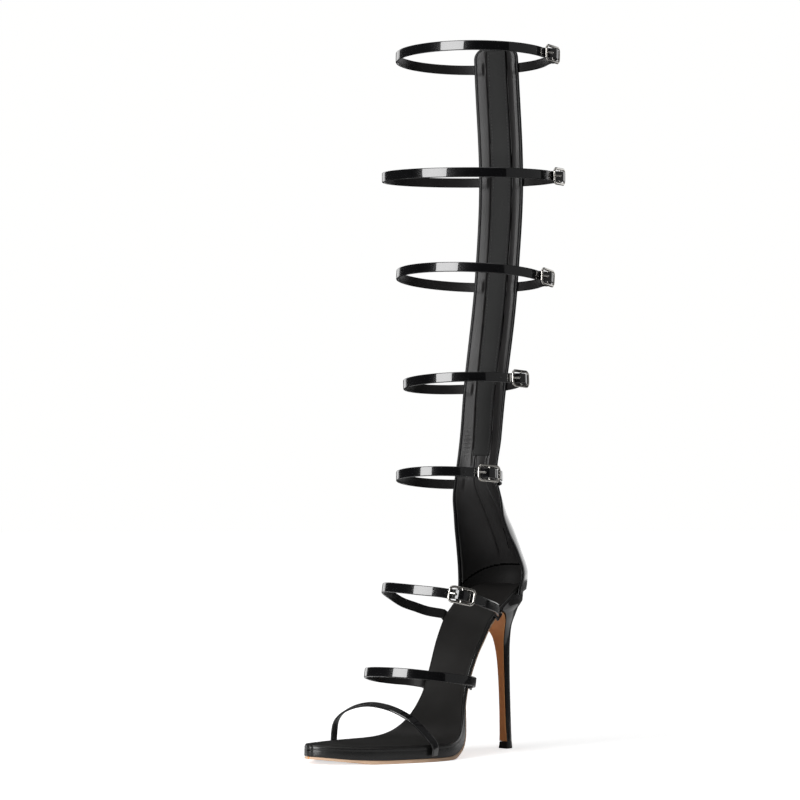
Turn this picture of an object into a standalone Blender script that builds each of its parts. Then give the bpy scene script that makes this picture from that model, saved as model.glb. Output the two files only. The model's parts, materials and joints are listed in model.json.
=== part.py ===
"""Knee-high strappy stiletto sandal, left foot, as separate solids.

Metres, +Z up. The toe points to -Y, the outer side of the foot is +X, and the origin is on the floor
under the heel tip. The tables hold millimetres, which become metres as each mesh is made.
"""
import math
from collections import namedtuple

import bmesh
import bpy
from mathutils import Vector

MM = 0.001

# Clearance and thicknesses
GAP = 0.3
WALL = 2.0
STRAP_WIDTH = 7.2
STRAP_THICK = 1.5
BED_THICK = 3.6
SOLE_THIN = 1.4
SOLE_THICK = 2.6
SOLE_TOE = 1.7

# Back strip and heel cup
STRIP_TOP = 534.0
STRIP_CORNER = 9.0
CUP_BLEND_TOP = 140.0
CUP_FRONT_DEG = 86.0
CUP_TURN = -10.0
STRIP_COLUMNS = 12

# Buckles
BUCKLE_LONG = 20.0
BUCKLE_TALL = 13.0
BUCKLE_WIRE = 2.0
BUCKLE_CORNER = 3.4
BUCKLE_THICK = 1.6
BUCKLE_LIFT = 3.05
BUCKLE_TILT = 0.09
BULGE = 3.4
BULGE_RUN = 16.0
MIDDLE_BAR = 2.0
PRONG_WIDE = 1.6
PRONG_RISE = 4.2
WEAVE_TOP = 5.6
WEAVE_END = 2.0
HELD_TOP = 2.2
FREE_TIP = 10.0
BACKWARD = Vector((0.0, 1.0, 0.0))

# Zip
CHAIN_WIDE = 5.0
CHAIN_THICK = 1.2
CHAIN_LOW = 208.0
CHAIN_HIGH = 525.0
STRAP_TO_ZIP = 3.6
SLIDER_Z = 503.0
SLIDER_WIDE = 7.6
SLIDER_TALL = 9.0
SLIDER_THICK = 2.4
ARCH_WIDE = 1.8
ARCH_HALF = 3.3
ARCH_RISE = 3.6
ARCH_BAR = 1.2
ARCH_LEG = 1.4
PULL_THICK = 1.3
PULL_EYE = 5.0
PULL_LONG = 33.0
PULL_TOP_WIDE = 5.6
PULL_END_WIDE = 6.6

# Heel tip
TIP_TALL = 5.3
HEEL_SIDES = 16

LegRow = namedtuple("LegRow", "z mid_x mid_y half_x half_y skew turn span")
# Inside of the leg and heel cup at each height. skew leans the oval towards the outer back, turn is where
# the strip's middle lies and span is half of its width, both in degrees round the oval.
LEG = (
    LegRow(104.0, -4.0, -22.4, 25.4, 34.0, 0.0, -10.0, 86.0),
    LegRow(120.0, -4.0, -22.4, 25.6, 37.2, 0.0, -9.0, 79.0),
    LegRow(134.0, -4.0, -22.4, 25.4, 39.6, 0.0, -12.5, 75.5),
    LegRow(150.0, -4.0, -25.9, 24.4, 35.5, 0.0, -11.0, 75.5),
    LegRow(165.0, -4.2, -31.9, 23.8, 33.5, 0.0, -4.5, 76.5),
    LegRow(180.0, -4.4, -41.4, 25.0, 33.5, -0.3, -2.0, 66.0),
    LegRow(203.0, -3.4, -59.4, 33.7, 39.6, -1.5, -5.0, 37.0),
    LegRow(235.0, -1.0, -56.4, 36.5, 39.0, -1.2, -8.0, 31.0),
    LegRow(274.0, 3.0, -53.5, 41.6, 39.0, -0.7, -11.7, 26.7),
    LegRow(352.0, 9.2, -49.8, 52.1, 46.1, 2.0, -16.6, 19.9),
    LegRow(431.0, 10.8, -53.8, 58.0, 55.0, 4.5, -16.9, 17.2),
    LegRow(517.0, 17.0, -55.9, 57.2, 49.2, 0.5, -18.2, 18.8),
    LegRow(534.0, 17.6, -56.6, 56.8, 48.2, 0.2, -18.3, 18.8),
)

LoopRow = namedtuple("LoopRow", "name z front_rise outer_rise buckle_deg tip gap")
# Straps round the leg: height at the strip, slopes towards the front and the outer side, where the buckle
# sits round the oval, and the length that passes beyond it.
LOOPS = (
    LoopRow("top", 517.5, 0.032, -0.004, 66.5, 13.0, 0.3),
    LoopRow("calf", 431.5, -0.025, -0.026, 57.0, 12.0, 0.3),
    LoopRow("shin", 350.8, 0.092, 0.015, 64.0, 14.0, 0.3),
    LoopRow("lower", 273.9, 0.036, 0.063, 73.0, 12.0, 0.35),
    LoopRow("ankle", 201.1, 0.088, 0.072, 90.5, 12.0, 0.8),
)

BedRow = namedtuple("BedRow", "y z inner outer thick")
# Top face of the footbed from heel to toe, its two edges and the thickness of everything under the foot.
BED = (
    BedRow(12.6, 125.0, -29.0, 21.0, 5.4),
    BedRow(-3.4, 123.9, -29.0, 21.0, 5.4),
    BedRow(-13.4, 120.4, -29.0, 21.0, 5.4),
    BedRow(-23.4, 114.2, -29.0, 21.0, 5.4),
    BedRow(-33.4, 106.4, -28.4, 20.6, 5.4),
    BedRow(-41.9, 98.0, -27.4, 20.0, 5.4),
    BedRow(-49.9, 85.5, -26.2, 19.4, 5.4),
    BedRow(-55.4, 76.5, -24.6, 18.8, 5.4),
    BedRow(-60.4, 66.0, -23.4, 18.4, 5.2),
    BedRow(-65.0, 55.5, -22.9, 18.4, 5.0),
    BedRow(-69.0, 45.5, -23.2, 19.4, 5.0),
    BedRow(-73.6, 36.0, -25.2, 22.4, 5.6),
    BedRow(-79.0, 27.0, -28.6, 26.8, 7.4),
    BedRow(-85.0, 20.6, -32.2, 31.2, 10.2),
    BedRow(-92.0, 16.2, -35.8, 35.4, 12.4),
    BedRow(-101.0, 13.7, -38.8, 39.0, 13.2),
    BedRow(-112.0, 12.7, -41.2, 40.6, 12.7),
    BedRow(-126.0, 12.5, -42.6, 39.0, 12.5),
    BedRow(-144.0, 12.5, -42.2, 34.0, 12.5),
    BedRow(-163.4, 12.7, -38.0, 25.8, 12.6),
    BedRow(-178.4, 13.2, -31.6, 15.8, 11.8),
    BedRow(-189.4, 13.7, -24.6, 5.6, 10.8),
    BedRow(-195.9, 14.0, -18.0, -2.8, 10.3),
    BedRow(-198.4, 14.1, -13.6, -7.6, 10.2),
)
TOE_Y = -198.4
SEAT_MID_Y = -22.4
SEAT_LONG = 35.6
PLATFORM_BACK = -73.6
SOLE_BACK = -34.4
FLAT_SPOT = (-166.0, -103.0)

BreastRow = namedtuple("BreastRow", "y z half mid_x thick")
# Inner face of the sole leather where it leaves the arch and runs down the front of the heel.
BREAST = (
    BreastRow(-26.0, 105.0, 22.0, -4.0, 1.4),
    BreastRow(-20.2, 103.2, 20.0, -3.9, 1.4),
    BreastRow(-14.4, 98.4, 15.8, -3.6, 1.3),
    BreastRow(-9.8, 93.0, 10.6, -3.1, 1.2),
    BreastRow(-7.0, 87.5, 6.8, -2.5, 1.2),
    BreastRow(-5.7, 79.5, 4.6, -2.0, 1.2),
    BreastRow(-4.8, 65.0, 3.2, -1.2, 1.2),
    BreastRow(-4.0, 42.0, 2.8, -0.6, 1.2),
    BreastRow(-3.5, 18.0, 3.0, -0.2, 1.2),
    BreastRow(-3.1, 5.7, 3.6, 0.0, 1.2),
)

HeelRow = namedtuple("HeelRow", "front_y front_z back_y back_z half mid_x")
# Stiletto heel from its tip to the seat; each row is a flat-fronted oval.
HEEL = (
    HeelRow(-2.8, 5.6, 5.0, 5.6, 3.7, 0.0),
    HeelRow(-3.2, 18.0, 4.9, 18.0, 3.1, -0.2),
    HeelRow(-3.7, 42.0, 4.3, 42.0, 2.9, -0.6),
    HeelRow(-4.5, 65.0, 4.4, 64.0, 3.3, -1.2),
    HeelRow(-5.35, 79.7, 5.0, 79.0, 4.7, -2.0),
    HeelRow(-6.65, 87.8, 5.9, 87.5, 7.0, -2.5),
    HeelRow(-9.5, 93.4, 7.2, 95.0, 11.0, -3.1),
    HeelRow(-14.2, 98.9, 9.8, 102.0, 16.4, -3.6),
    HeelRow(-20.0, 103.7, 13.0, 109.0, 21.0, -3.9),
    HeelRow(-25.8, 105.5, 15.4, 114.0, 23.4, -4.0),
)
HEEL_TOP_HALF = 26.6
HEEL_TOP_BACK = 16.2
HEEL_PINCH = 0.2

# Routes of the straps over the foot, on their inner faces, from the inner side to the outer side
INSTEP_ROUTE = (
    (-35.0, -49.4, 104.5), (-37.0, -61.4, 108.0), (-37.6, -74.4, 111.8), (-35.6, -88.4, 117.5),
    (-28.0, -104.4, 122.5), (-13.0, -115.9, 124.3), (4.0, -119.9, 124.0), (20.0, -118.2, 123.0),
    (37.0, -109.4, 121.2), (48.0, -94.9, 117.4), (50.6, -78.4, 112.8), (44.2, -61.4, 109.4),
    (33.6, -47.4, 106.2),
)
INSTEP_ENDS = (-38.4, -35.4)
INSTEP_BUCKLE = 0.648
MIDFOOT_ROUTE = (
    (-33.0, -73.4, 53.2), (-39.5, -83.4, 54.4), (-41.5, -98.4, 56.6), (-35.0, -115.4, 59.8),
    (-19.0, -129.4, 62.4), (0.0, -133.6, 63.4), (19.0, -128.4, 63.0), (33.0, -115.4, 61.0),
    (41.0, -98.4, 58.4), (40.6, -83.4, 56.4), (34.5, -74.2, 54.6),
)
MIDFOOT_ENDS = (-66.6, -66.0)
TOE_ROUTE = (
    (-44.0, -141.0, 14.0), (-42.2, -140.2, 24.0), (-37.6, -139.2, 30.6), (-29.0, -138.4, 35.2),
    (-18.0, -138.0, 38.2), (-6.0, -138.0, 39.2), (8.0, -137.0, 37.6), (19.0, -134.8, 34.0),
    (27.8, -131.6, 28.6), (35.0, -127.4, 20.6), (40.6, -123.8, 12.6),
)
TOE_END_Z = 4.6


def catmull(before, start, end, after, amount):
    """One coordinate of a smooth curve through start and end."""
    slope_in = (end - before) / 2.0
    slope_out = (after - start) / 2.0
    square = amount * amount
    cube = square * amount
    return ((2 * cube - 3 * square + 1) * start + (cube - 2 * square + amount) * slope_in
            + (3 * square - 2 * cube) * end + (cube - square) * slope_out)


def table_value(rows, key, column, value):
    """Smoothly read one column of a table at a value of its key column."""
    keys = [getattr(row, key) for row in rows]
    rising = keys[0] < keys[-1]
    last = len(rows) - 2
    place = 0
    while place < last and (keys[place + 1] < value) == rising:
        place += 1
    amount = (value - keys[place]) / (keys[place + 1] - keys[place])
    amount = min(max(amount, 0.0), 1.0)
    data = [getattr(row, column) for row in rows]
    wide = keys[place + 1] - keys[place]

    def slope(i):
        if i <= 0 or i >= len(rows) - 1:
            j = 0 if i <= 0 else len(rows) - 2
            return (data[j + 1] - data[j]) / (keys[j + 1] - keys[j])
        return (data[i + 1] - data[i - 1]) / (keys[i + 1] - keys[i - 1])

    square = amount * amount
    cube = square * amount
    return ((2 * cube - 3 * square + 1) * data[place]
            + (cube - 2 * square + amount) * slope(place) * wide
            + (3 * square - 2 * cube) * data[place + 1]
            + (cube - square) * slope(place + 1) * wide)


def leg_value(column, z):
    return table_value(LEG, "z", column, z)


def leg_point(degrees, z, offset):
    """Point of the leg's oval; 0 degrees is the back and positive turns to the outer side."""
    angle = math.radians(degrees)
    side = math.sin(angle)
    back = math.cos(angle)
    skew = leg_value("skew", z)
    x = leg_value("mid_x", z) + (leg_value("half_x", z) + offset) * side + skew * back
    y = leg_value("mid_y", z) + (leg_value("half_y", z) + offset) * back + skew * side
    return Vector((x, y, z))


def leg_radius(z):
    return (leg_value("half_x", z) + leg_value("half_y", z)) / 2.0 + WALL


def strip_turn(z):
    return leg_value("turn", z)


def bed_value(column, y):
    return table_value(BED, "y", column, y)


def bed_down(y):
    """Unit direction from the footbed's top face into the sole, as (y, z)."""
    step = 1.0
    slope = (bed_value("z", y + step) - bed_value("z", y - step)) / (2 * step)
    size = math.hypot(slope, 1.0)
    return slope / size, -1.0 / size


def bed_point(y, depth):
    """Place of the sole's layer at a depth under the footbed's top face, as (y, z)."""
    down = bed_down(y)
    return y + down[0] * depth, bed_value("z", y) + down[1] * depth


def bed_edges(y, inset=0.0):
    """Inner and outer edge of the footbed, rounded off at the heel."""
    inner = bed_value("inner", y)
    outer = bed_value("outer", y)
    if y > SEAT_MID_Y:
        middle = (inner + outer) / 2.0
        part = min((y - SEAT_MID_Y) / SEAT_LONG, 1.0)
        half = (outer - inner) / 2.0 * math.sqrt(max(1.0 - part * part, 0.0))
        inner = middle - half
        outer = middle + half
    middle = (inner + outer) / 2.0
    half = max((outer - inner) / 2.0 - inset, 0.6)
    return middle - half, middle + half


def sole_thin(y):
    """Thickness of the sole leather, thick under the forefoot and thin in the arch."""
    amount = min(max((-73.6 - y) / 26.0, 0.0), 1.0)
    thick = SOLE_THIN + (SOLE_THICK - SOLE_THIN) * amount * amount * (3 - 2 * amount)
    toe = min(max((-160.0 - y) / 30.0, 0.0), 1.0)
    return thick + (SOLE_TOE - SOLE_THICK) * toe * toe * (3 - 2 * toe)


def add_material(name, colour, roughness, metallic=0.0):
    material = bpy.data.materials.new(name)
    material.use_nodes = True
    shader = material.node_tree.nodes["Principled BSDF"]
    shader.inputs["Base Color"].default_value = (*colour, 1.0)
    shader.inputs["Roughness"].default_value = roughness
    shader.inputs["Metallic"].default_value = metallic
    return material


def add_object(name, bm, material):
    """Turn a mesh in millimetres into an object in metres, with its faces pointing out."""
    bmesh.ops.scale(bm, vec=(MM, MM, MM), verts=bm.verts)
    bmesh.ops.recalc_face_normals(bm, faces=bm.faces)
    mesh = bpy.data.meshes.new(name)
    bm.to_mesh(mesh)
    bm.free()
    mesh.materials.append(material)
    mesh.shade_smooth()
    mesh.set_sharp_from_angle(angle=math.radians(40))
    made = bpy.data.objects.new(name, mesh)
    bpy.context.scene.collection.objects.link(made)
    return made


def loft(rings):
    """Closed solid through rings of equally many points, with both ends capped."""
    bm = bmesh.new()
    rows = [[bm.verts.new(point) for point in ring] for ring in rings]
    count = len(rows[0])
    for low, high in zip(rows, rows[1:]):
        for i in range(count):
            j = (i + 1) % count
            bm.faces.new((low[i], low[j], high[j], high[i]))
    bm.faces.new(rows[0])
    bm.faces.new(rows[-1])
    return bm


def smooth_route(points, per_span):
    """Points of one smooth curve through a hand-placed route."""
    route = [Vector(point) for point in points]
    ends = [route[0] * 2 - route[1]] + route + [route[-1] * 2 - route[-2]]
    out = []
    for i in range(1, len(ends) - 2):
        for k in range(per_span):
            amount = k / per_span
            out.append(Vector([catmull(ends[i - 1][n], ends[i][n], ends[i + 1][n], ends[i + 2][n], amount)
                               for n in range(3)]))
    out.append(route[-1])
    return out


def band_frames(points, ups):
    """Tangent, width direction and outward direction at each point of a band."""
    frames = []
    for i, point in enumerate(points):
        ahead = points[min(i + 1, len(points) - 1)]
        behind = points[max(i - 1, 0)]
        along = (ahead - behind).normalized()
        outward = along.cross(ups[i]).normalized()
        across = outward.cross(along).normalized()
        frames.append((point, along, across, outward))
    return frames


def band(frames, width=STRAP_WIDTH, thick=STRAP_THICK, taper=0):
    """Flat strap whose inner face follows the frames; taper narrows that many of its last rings."""
    rings = []
    for i, (point, _, across, outward) in enumerate(frames):
        left = len(frames) - 1 - i
        half = width / 2.0
        if left < taper:
            half *= 0.55 + 0.45 * left / taper
        low = point - across * half
        high = point + across * half
        rings.append((low, high, high + outward * thick, low + outward * thick))
    return loft(rings)


def slab(points_low, points_high):
    """Closed plate between two faces of equally many points."""
    bm = bmesh.new()
    low = [bm.verts.new(point) for point in points_low]
    high = [bm.verts.new(point) for point in points_high]
    bm.faces.new(low)
    bm.faces.new(high)
    for i in range(len(low)):
        j = (i + 1) % len(low)
        bm.faces.new((low[i], low[j], high[j], high[i]))
    return bm


def plate_with_holes(outline, holes, base, axes, thick):
    """Flat plate with holes, drawn in two axes and raised along the third."""
    bm = bmesh.new()
    across, up, normal = axes
    edges = []
    for loop in [outline] + holes:
        verts = [bm.verts.new(base + across * a + up * b) for a, b in loop]
        edges += [bm.edges.new((verts[i], verts[(i + 1) % len(verts)])) for i in range(len(verts))]
    filled = bmesh.ops.triangle_fill(bm, use_beauty=True, use_dissolve=False, edges=edges)
    faces = [item for item in filled["geom"] if isinstance(item, bmesh.types.BMFace)]
    raised = bmesh.ops.extrude_face_region(bm, geom=faces)
    tops = [item for item in raised["geom"] if isinstance(item, bmesh.types.BMVert)]
    bmesh.ops.translate(bm, vec=normal * thick, verts=tops)
    return bm


def rounded_rectangle(low_a, high_a, low_b, high_b, radius, steps=3):
    """Outline with round corners, counter-clockwise."""
    corners = (
        (high_a - radius, high_b - radius, 0), (low_a + radius, high_b - radius, 90),
        (low_a + radius, low_b + radius, 180), (high_a - radius, low_b + radius, 270),
    )
    out = []
    for a, b, start in corners:
        for k in range(steps + 1):
            angle = math.radians(start + 90.0 * k / steps)
            out.append((a + radius * math.cos(angle), b + radius * math.sin(angle)))
    return out


def cup_foot(degrees):
    """Height of the heel cup's lower edge, level with the underside of the footbed."""
    y = leg_point(degrees, 118.0, 0.0).y
    return bed_value("z", y) - BED_THICK


def strip_span(z):
    """Half width of the back strip in degrees, with its top corners rounded off."""
    span = leg_value("span", z)
    above = z - (STRIP_TOP - STRIP_CORNER)
    if above > 0:
        cut = STRIP_CORNER - math.sqrt(max(STRIP_CORNER ** 2 - above ** 2, 0.0))
        span -= math.degrees(cut / leg_radius(z))
    return span


def make_upper(material):
    """Heel cup and tall back strip as one wall of real thickness, open in front and on top."""
    shares = [-1.0 + 2.0 * i / STRIP_COLUMNS for i in range(STRIP_COLUMNS + 1)]
    heights = [147, 154, 161, 168, 175, 182, 190, 199, 210, 224, 240, 257, 274, 300, 326, 352, 378, 404,
               431, 460, 490, 510, 525, 529.5, 532.5, STRIP_TOP]
    rows = []
    for blend in (0.0, 0.2, 0.4, 0.6, 0.8, 1.0):
        inner = []
        outer = []
        for share in shares:
            foot = cup_foot(CUP_TURN + share * CUP_FRONT_DEG)
            z = foot + (CUP_BLEND_TOP - foot) * blend
            degrees = strip_turn(z) + share * strip_span(max(z, 104.0))
            inner.append(leg_point(degrees, z, 0.0))
            outer.append(leg_point(degrees, z, WALL))
        rows.append(inner + outer[::-1])
    for z in heights:
        degrees = [strip_turn(z) + share * strip_span(z) for share in shares]
        inner = [leg_point(value, z, 0.0) for value in degrees]
        outer = [leg_point(value, z, WALL) for value in degrees]
        rows.append(inner + outer[::-1])
    return add_object("upper", loft(rows), material)


def sole_ring(y, depth_top, depth_bottom, inset=0.0, chamfer=0.6):
    """Cross-section of a sole layer, with its four long edges broken."""
    inner, outer = bed_edges(y, inset)
    top_y, top_z = bed_point(y, depth_top)
    low_y, low_z = bed_point(y, depth_bottom)
    cut = min(chamfer, (depth_bottom - depth_top) * 0.35)
    upper_y, upper_z = bed_point(y, depth_top + cut)
    lower_y, lower_z = bed_point(y, depth_bottom - cut)
    floor = [max(value, 0.0) for value in (low_z, lower_z)]
    edge = min(cut, (outer - inner) * 0.2)
    middle = (inner + outer) / 2.0
    return [
        Vector((inner + edge, top_y, top_z)), Vector((middle, top_y, top_z)),
        Vector((outer - edge, top_y, top_z)), Vector((outer, upper_y, upper_z)),
        Vector((outer, lower_y, floor[1])), Vector((outer - edge, low_y, floor[0])),
        Vector((middle, low_y, floor[0])), Vector((inner + edge, low_y, floor[0])),
        Vector((inner, lower_y, floor[1])), Vector((inner, upper_y, upper_z)),
    ]


def stations(start, stop):
    """Places along the footbed, closer together where it turns or narrows."""
    places = [13.0, 12.6, 11.1, 8.6, 4.6, -0.4, -7.4, -15.4, -23.4, -29.4, -34.4, -38.4, -41.9, -45.9, -49.9,
              -52.8, -55.4, -60.4, -65.0, -69.0, -73.6, -76.2, -79.0, -82.0, -85.0, -88.4, -92.0, -96.4,
              -101.0, -104.0, -112.0, -120.0, -130.0, -140.0, -150.0, -158.0, -165.0, -172.0, -178.4,
              -184.4, -189.4, -193.0, -195.9, -197.7, -198.4]
    return [y for y in places if stop <= y <= start]


def platform_thick(y):
    """Thickness of the platform between the footbed and the sole leather."""
    return max(bed_value("thick", y) - sole_thin(y) - BED_THICK - 2 * GAP, 0.4)


def make_footbed(material):
    rings = [sole_ring(y, 0.0, BED_THICK) for y in stations(13.0, TOE_Y)]
    return add_object("footbed", loft(rings), material)


def make_platform(material):
    rings = []
    for y in stations(PLATFORM_BACK, TOE_Y):
        rings.append(sole_ring(y, BED_THICK + GAP, BED_THICK + GAP + platform_thick(y)))
    return add_object("platform", loft(rings), material)


def sole_leather_ring(y):
    """Section of the sole leather under the footbed, flat on the floor under the ball of the foot."""
    top = BED_THICK + GAP
    if y <= PLATFORM_BACK:
        top += platform_thick(y) + GAP
    ring = sole_ring(y, top, top + sole_thin(y), inset=0.5)
    if FLAT_SPOT[0] <= y <= FLAT_SPOT[1]:
        for index in (5, 6, 7):
            ring[index].z = 0.0
    return ring


def breast_ring(row, along):
    """Section of the sole leather on the front of the heel; along is its running direction (y, z)."""
    out_y, out_z = along[1], -along[0]
    cut = 0.3
    half = row.half
    mid = row.mid_x

    def place(x, depth):
        return Vector((x, row.y + out_y * depth, row.z + out_z * depth))

    thick = row.thick
    return [
        place(mid - half + cut, 0.0), place(mid, 0.0), place(mid + half - cut, 0.0),
        place(mid + half, cut), place(mid + half, thick - cut), place(mid + half - cut, thick),
        place(mid, thick), place(mid - half + cut, thick), place(mid - half, thick - cut),
        place(mid - half, cut),
    ]


def make_outsole(material):
    """One piece of leather from the toe, up the arch and down the front of the heel."""
    rings = [sole_leather_ring(y) for y in reversed(stations(SOLE_BACK, TOE_Y))]
    first = bed_point(SOLE_BACK, BED_THICK + GAP)
    places = [first] + [(row.y, row.z) for row in BREAST]
    for i, row in enumerate(BREAST):
        behind = places[i]
        ahead = places[min(i + 2, len(places) - 1)]
        size = math.hypot(ahead[0] - behind[0], ahead[1] - behind[1])
        rings.append(breast_ring(row, ((ahead[0] - behind[0]) / size, (ahead[1] - behind[1]) / size)))
    return add_object("outsole", loft(rings), material)


def heel_ring(row):
    """Flat-fronted oval of the heel, sloping from its front to its back."""
    pinch = HEEL_PINCH * min(max((row.front_z - 82.0) / 10.0, 0.0), max((105.5 - row.front_z) / 2.0, 0.0), 1.0)
    points = []
    for i in range(HEEL_SIDES + 1):
        angle = math.radians(-90.0 + 180.0 * i / HEEL_SIDES)
        share = math.cos(angle)
        x = row.mid_x + row.half * math.sin(angle) * (1.0 - pinch * share)
        y = row.front_y + (row.back_y - row.front_y) * share
        z = row.front_z + (row.back_z - row.front_z) * share
        points.append(Vector((x, y, z)))
    return points


def make_heel(material):
    rings = [heel_ring(row) for row in HEEL]
    top = HeelRow(-25.8, 0.0, HEEL_TOP_BACK, 0.0, HEEL_TOP_HALF - 2.0, -4.0)
    seat = heel_ring(top)
    for point in seat:
        point.z = seat_under(point.y) - GAP
    rings.append(seat)
    return add_object("heel", loft(rings), material)


def seat_under(y):
    """Height of the footbed's underside over the heel at one place along the foot."""
    place = y
    for _ in range(6):
        place -= bed_point(place, BED_THICK)[0] - y
    return bed_point(min(place, 12.6), BED_THICK)[1]


def make_heel_tip(material):
    rings = []
    for z, grow in ((0.0, 0.3), (0.6, 0.6), (TIP_TALL - 0.4, 0.6), (TIP_TALL, 0.3)):
        row = HeelRow(-3.5 - grow, z, 5.0 + grow, z, 3.6 + grow, 0.0)
        rings.append(heel_ring(row))
    return add_object("heel_tip", loft(rings), material)


def loop_point(loop, degrees, offset):
    """Point of a leg strap, tilted by its slopes towards the front and the outer side."""
    start = leg_point(strip_turn(loop.z), loop.z, WALL)
    flat = leg_point(degrees, loop.z, offset)
    rise = loop.front_rise * (start.y - flat.y) + loop.outer_rise * (flat.x - start.x)
    return leg_point(degrees, loop.z + rise, offset)


def loop_up(loop):
    """Width direction of a leg strap, square to its tilted plane."""
    return Vector((-loop.outer_rise, loop.front_rise, 1.0)).normalized()


def turn_away(degrees, z):
    """Angle from the strip's middle, from -180 to 180."""
    return (degrees - strip_turn(z) + 180.0) % 360.0 - 180.0


def loop_frames(loop, angles, offsets):
    """Frames of a leg strap; over the back strip its width lies along the strip's own slope."""
    points = [loop_point(loop, angle, offset) for angle, offset in zip(angles, offsets)]
    flat = loop_up(loop)
    ups = []
    for point, angle, offset in zip(points, angles, offsets):
        rise = STRAP_WIDTH / 2.0
        wall = leg_point(angle, point.z + rise, offset) - leg_point(angle, point.z - rise, offset)
        away = abs(turn_away(angle, loop.z)) - strip_span(loop.z)
        amount = min(max(1.0 - away / 18.0, 0.0), 1.0)
        ups.append(flat.lerp(wall.normalized(), amount * amount * (3 - 2 * amount)))
    middle = Vector((leg_value("mid_x", loop.z), leg_value("mid_y", loop.z), 0.0))
    fixed = []
    for point, along, across, outward in band_frames(points, ups):
        if outward.dot(point - middle - Vector((0.0, 0.0, point.z))) < 0:
            outward = -outward
        fixed.append((point, along, across, outward))
    return fixed


def spread(start, stop, count):
    return [start + (stop - start) * i / count for i in range(count + 1)]


def buckle_frame_at(loop):
    """Centre, running direction, width direction and outward direction of a leg strap's buckle."""
    step = 2.0
    angles = [loop.buckle_deg - step, loop.buckle_deg, loop.buckle_deg + step]
    degree = degrees_per_mm(loop)
    offsets = [WALL + loop.gap + buckle_bulge((loop.buckle_deg - angle) / degree) for angle in angles]
    return loop_frames(loop, angles, offsets)[1]


def degrees_per_mm(loop):
    """Turn round the oval that makes one millimetre of strap at the buckle."""
    span = 6.0
    lift = WALL + loop.gap + WEAVE_END
    before = loop_point(loop, loop.buckle_deg - span, lift)
    after = loop_point(loop, loop.buckle_deg + span, lift)
    return 2 * span / (after - before).length


def ease(amount):
    amount = min(max(amount, 0.0), 1.0)
    return amount * amount * (3 - 2 * amount)


def woven_lift(s):
    """Lift of the long strap at s along the buckle: under the front bar, over the middle, under the back bar."""
    front = ease((s + BUCKLE_LONG / 2.0) / (BUCKLE_LONG / 2.0 - 1.5))
    back = ease((s - 0.3) / (BUCKLE_LONG / 2.0 - 1.5))
    return WEAVE_TOP * front + (WEAVE_END - WEAVE_TOP) * back


def buckle_bulge(s):
    """How far a leg strap stands off the leg's curve along its buckle, which is stiff and lies flat."""
    out = BULGE * min(max((s + BUCKLE_LONG / 2.0) / BUCKLE_LONG, 0.0), 1.0)
    return out * (1.0 - ease((s - BUCKLE_LONG / 2.0) / BULGE_RUN))


def held_lift(s):
    """Lift of the short strap as it comes up to the buckle's middle bar."""
    return HELD_TOP * ease((BUCKLE_LONG / 2.0 - 0.5 - s) / (BUCKLE_LONG / 2.0 - 1.5))


def make_buckle(name, frame, material):
    """Rounded frame with a middle bar, and a prong that rests on the front bar."""
    point, along, across, outward = frame
    if along.dot(BACKWARD) < 0:
        along = -along
    plane_out = (outward - along * BUCKLE_TILT).normalized()
    plane_along = (along + outward * BUCKLE_TILT).normalized()
    half_long = BUCKLE_LONG / 2.0
    half_tall = BUCKLE_TALL / 2.0
    wire = BUCKLE_WIRE
    outline = rounded_rectangle(-half_long, half_long, -half_tall, half_tall, BUCKLE_CORNER)
    holes = []
    for low, high in ((-half_long + wire, -MIDDLE_BAR / 2.0), (MIDDLE_BAR / 2.0, half_long - wire)):
        holes.append(rounded_rectangle(low, high, -half_tall + wire, half_tall - wire, 1.2, 2))
    base = point + outward * BUCKLE_LIFT
    made = add_object(name, plate_with_holes(outline, holes, base, (plane_along, across, plane_out), BUCKLE_THICK),
                      material)
    low = BUCKLE_THICK
    outline = [(-half_long - 0.6, low - 0.3), (-half_long + wire, low - 0.3), (-3.2, PRONG_RISE),
               (-3.2, PRONG_RISE + 1.0), (-half_long + wire, low + 1.1), (-half_long - 0.2, low + 0.9)]
    start = base - across * (PRONG_WIDE / 2.0)
    prong = plate_with_holes(outline, [], start, (plane_along, plane_out, across), PRONG_WIDE)
    cutter = add_object(name + "_prong", prong, material)
    cutter.hide_render = True
    cutter.display_type = "WIRE"
    join = made.modifiers.new("prong", "BOOLEAN")
    join.operation = "UNION"
    join.solver = "EXACT"
    join.object = cutter
    return made


def make_leg_loop(loop, patent, metal):
    """Long strap, short buckle strap and buckle of one leg strap."""
    degree = degrees_per_mm(loop)
    turn = strip_turn(loop.z)
    reach = BUCKLE_LONG / 2.0 + 3.0
    base = WALL + loop.gap
    beside_zip = math.degrees(STRAP_TO_ZIP / leg_radius(loop.z))
    start = turn - beside_zip
    front_end = loop.buckle_deg - 360.0 + reach * degree
    angles = spread(start, front_end, 40)[:-1]
    angles += spread(front_end, loop.buckle_deg - 360.0 - reach * degree, 22)[:-1]
    angles += spread(loop.buckle_deg - 360.0 - reach * degree,
                     loop.buckle_deg - 360.0 - (BUCKLE_LONG / 2.0 + loop.tip) * degree, 5)
    places = [(loop.buckle_deg - 360.0 - angle) / degree for angle in angles]
    offsets = [base + woven_lift(s) + buckle_bulge(s) for s in places]
    frames = loop_frames(loop, angles, offsets)
    add_object("strap_" + loop.name, band(frames, taper=3), patent)
    begin = turn + beside_zip
    end = loop.buckle_deg - (MIDDLE_BAR / 2.0 + 0.5) * degree
    short = spread(begin, loop.buckle_deg - reach * degree, 12)[:-1]
    short += spread(loop.buckle_deg - reach * degree, end, 8)
    places = [(loop.buckle_deg - angle) / degree for angle in short]
    offsets = [base + held_lift(s) + buckle_bulge(s) for s in places]
    add_object("buckle_strap_" + loop.name, band(loop_frames(loop, short, offsets)), patent)
    make_buckle("buckle_" + loop.name, buckle_frame_at(loop), metal)


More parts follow.
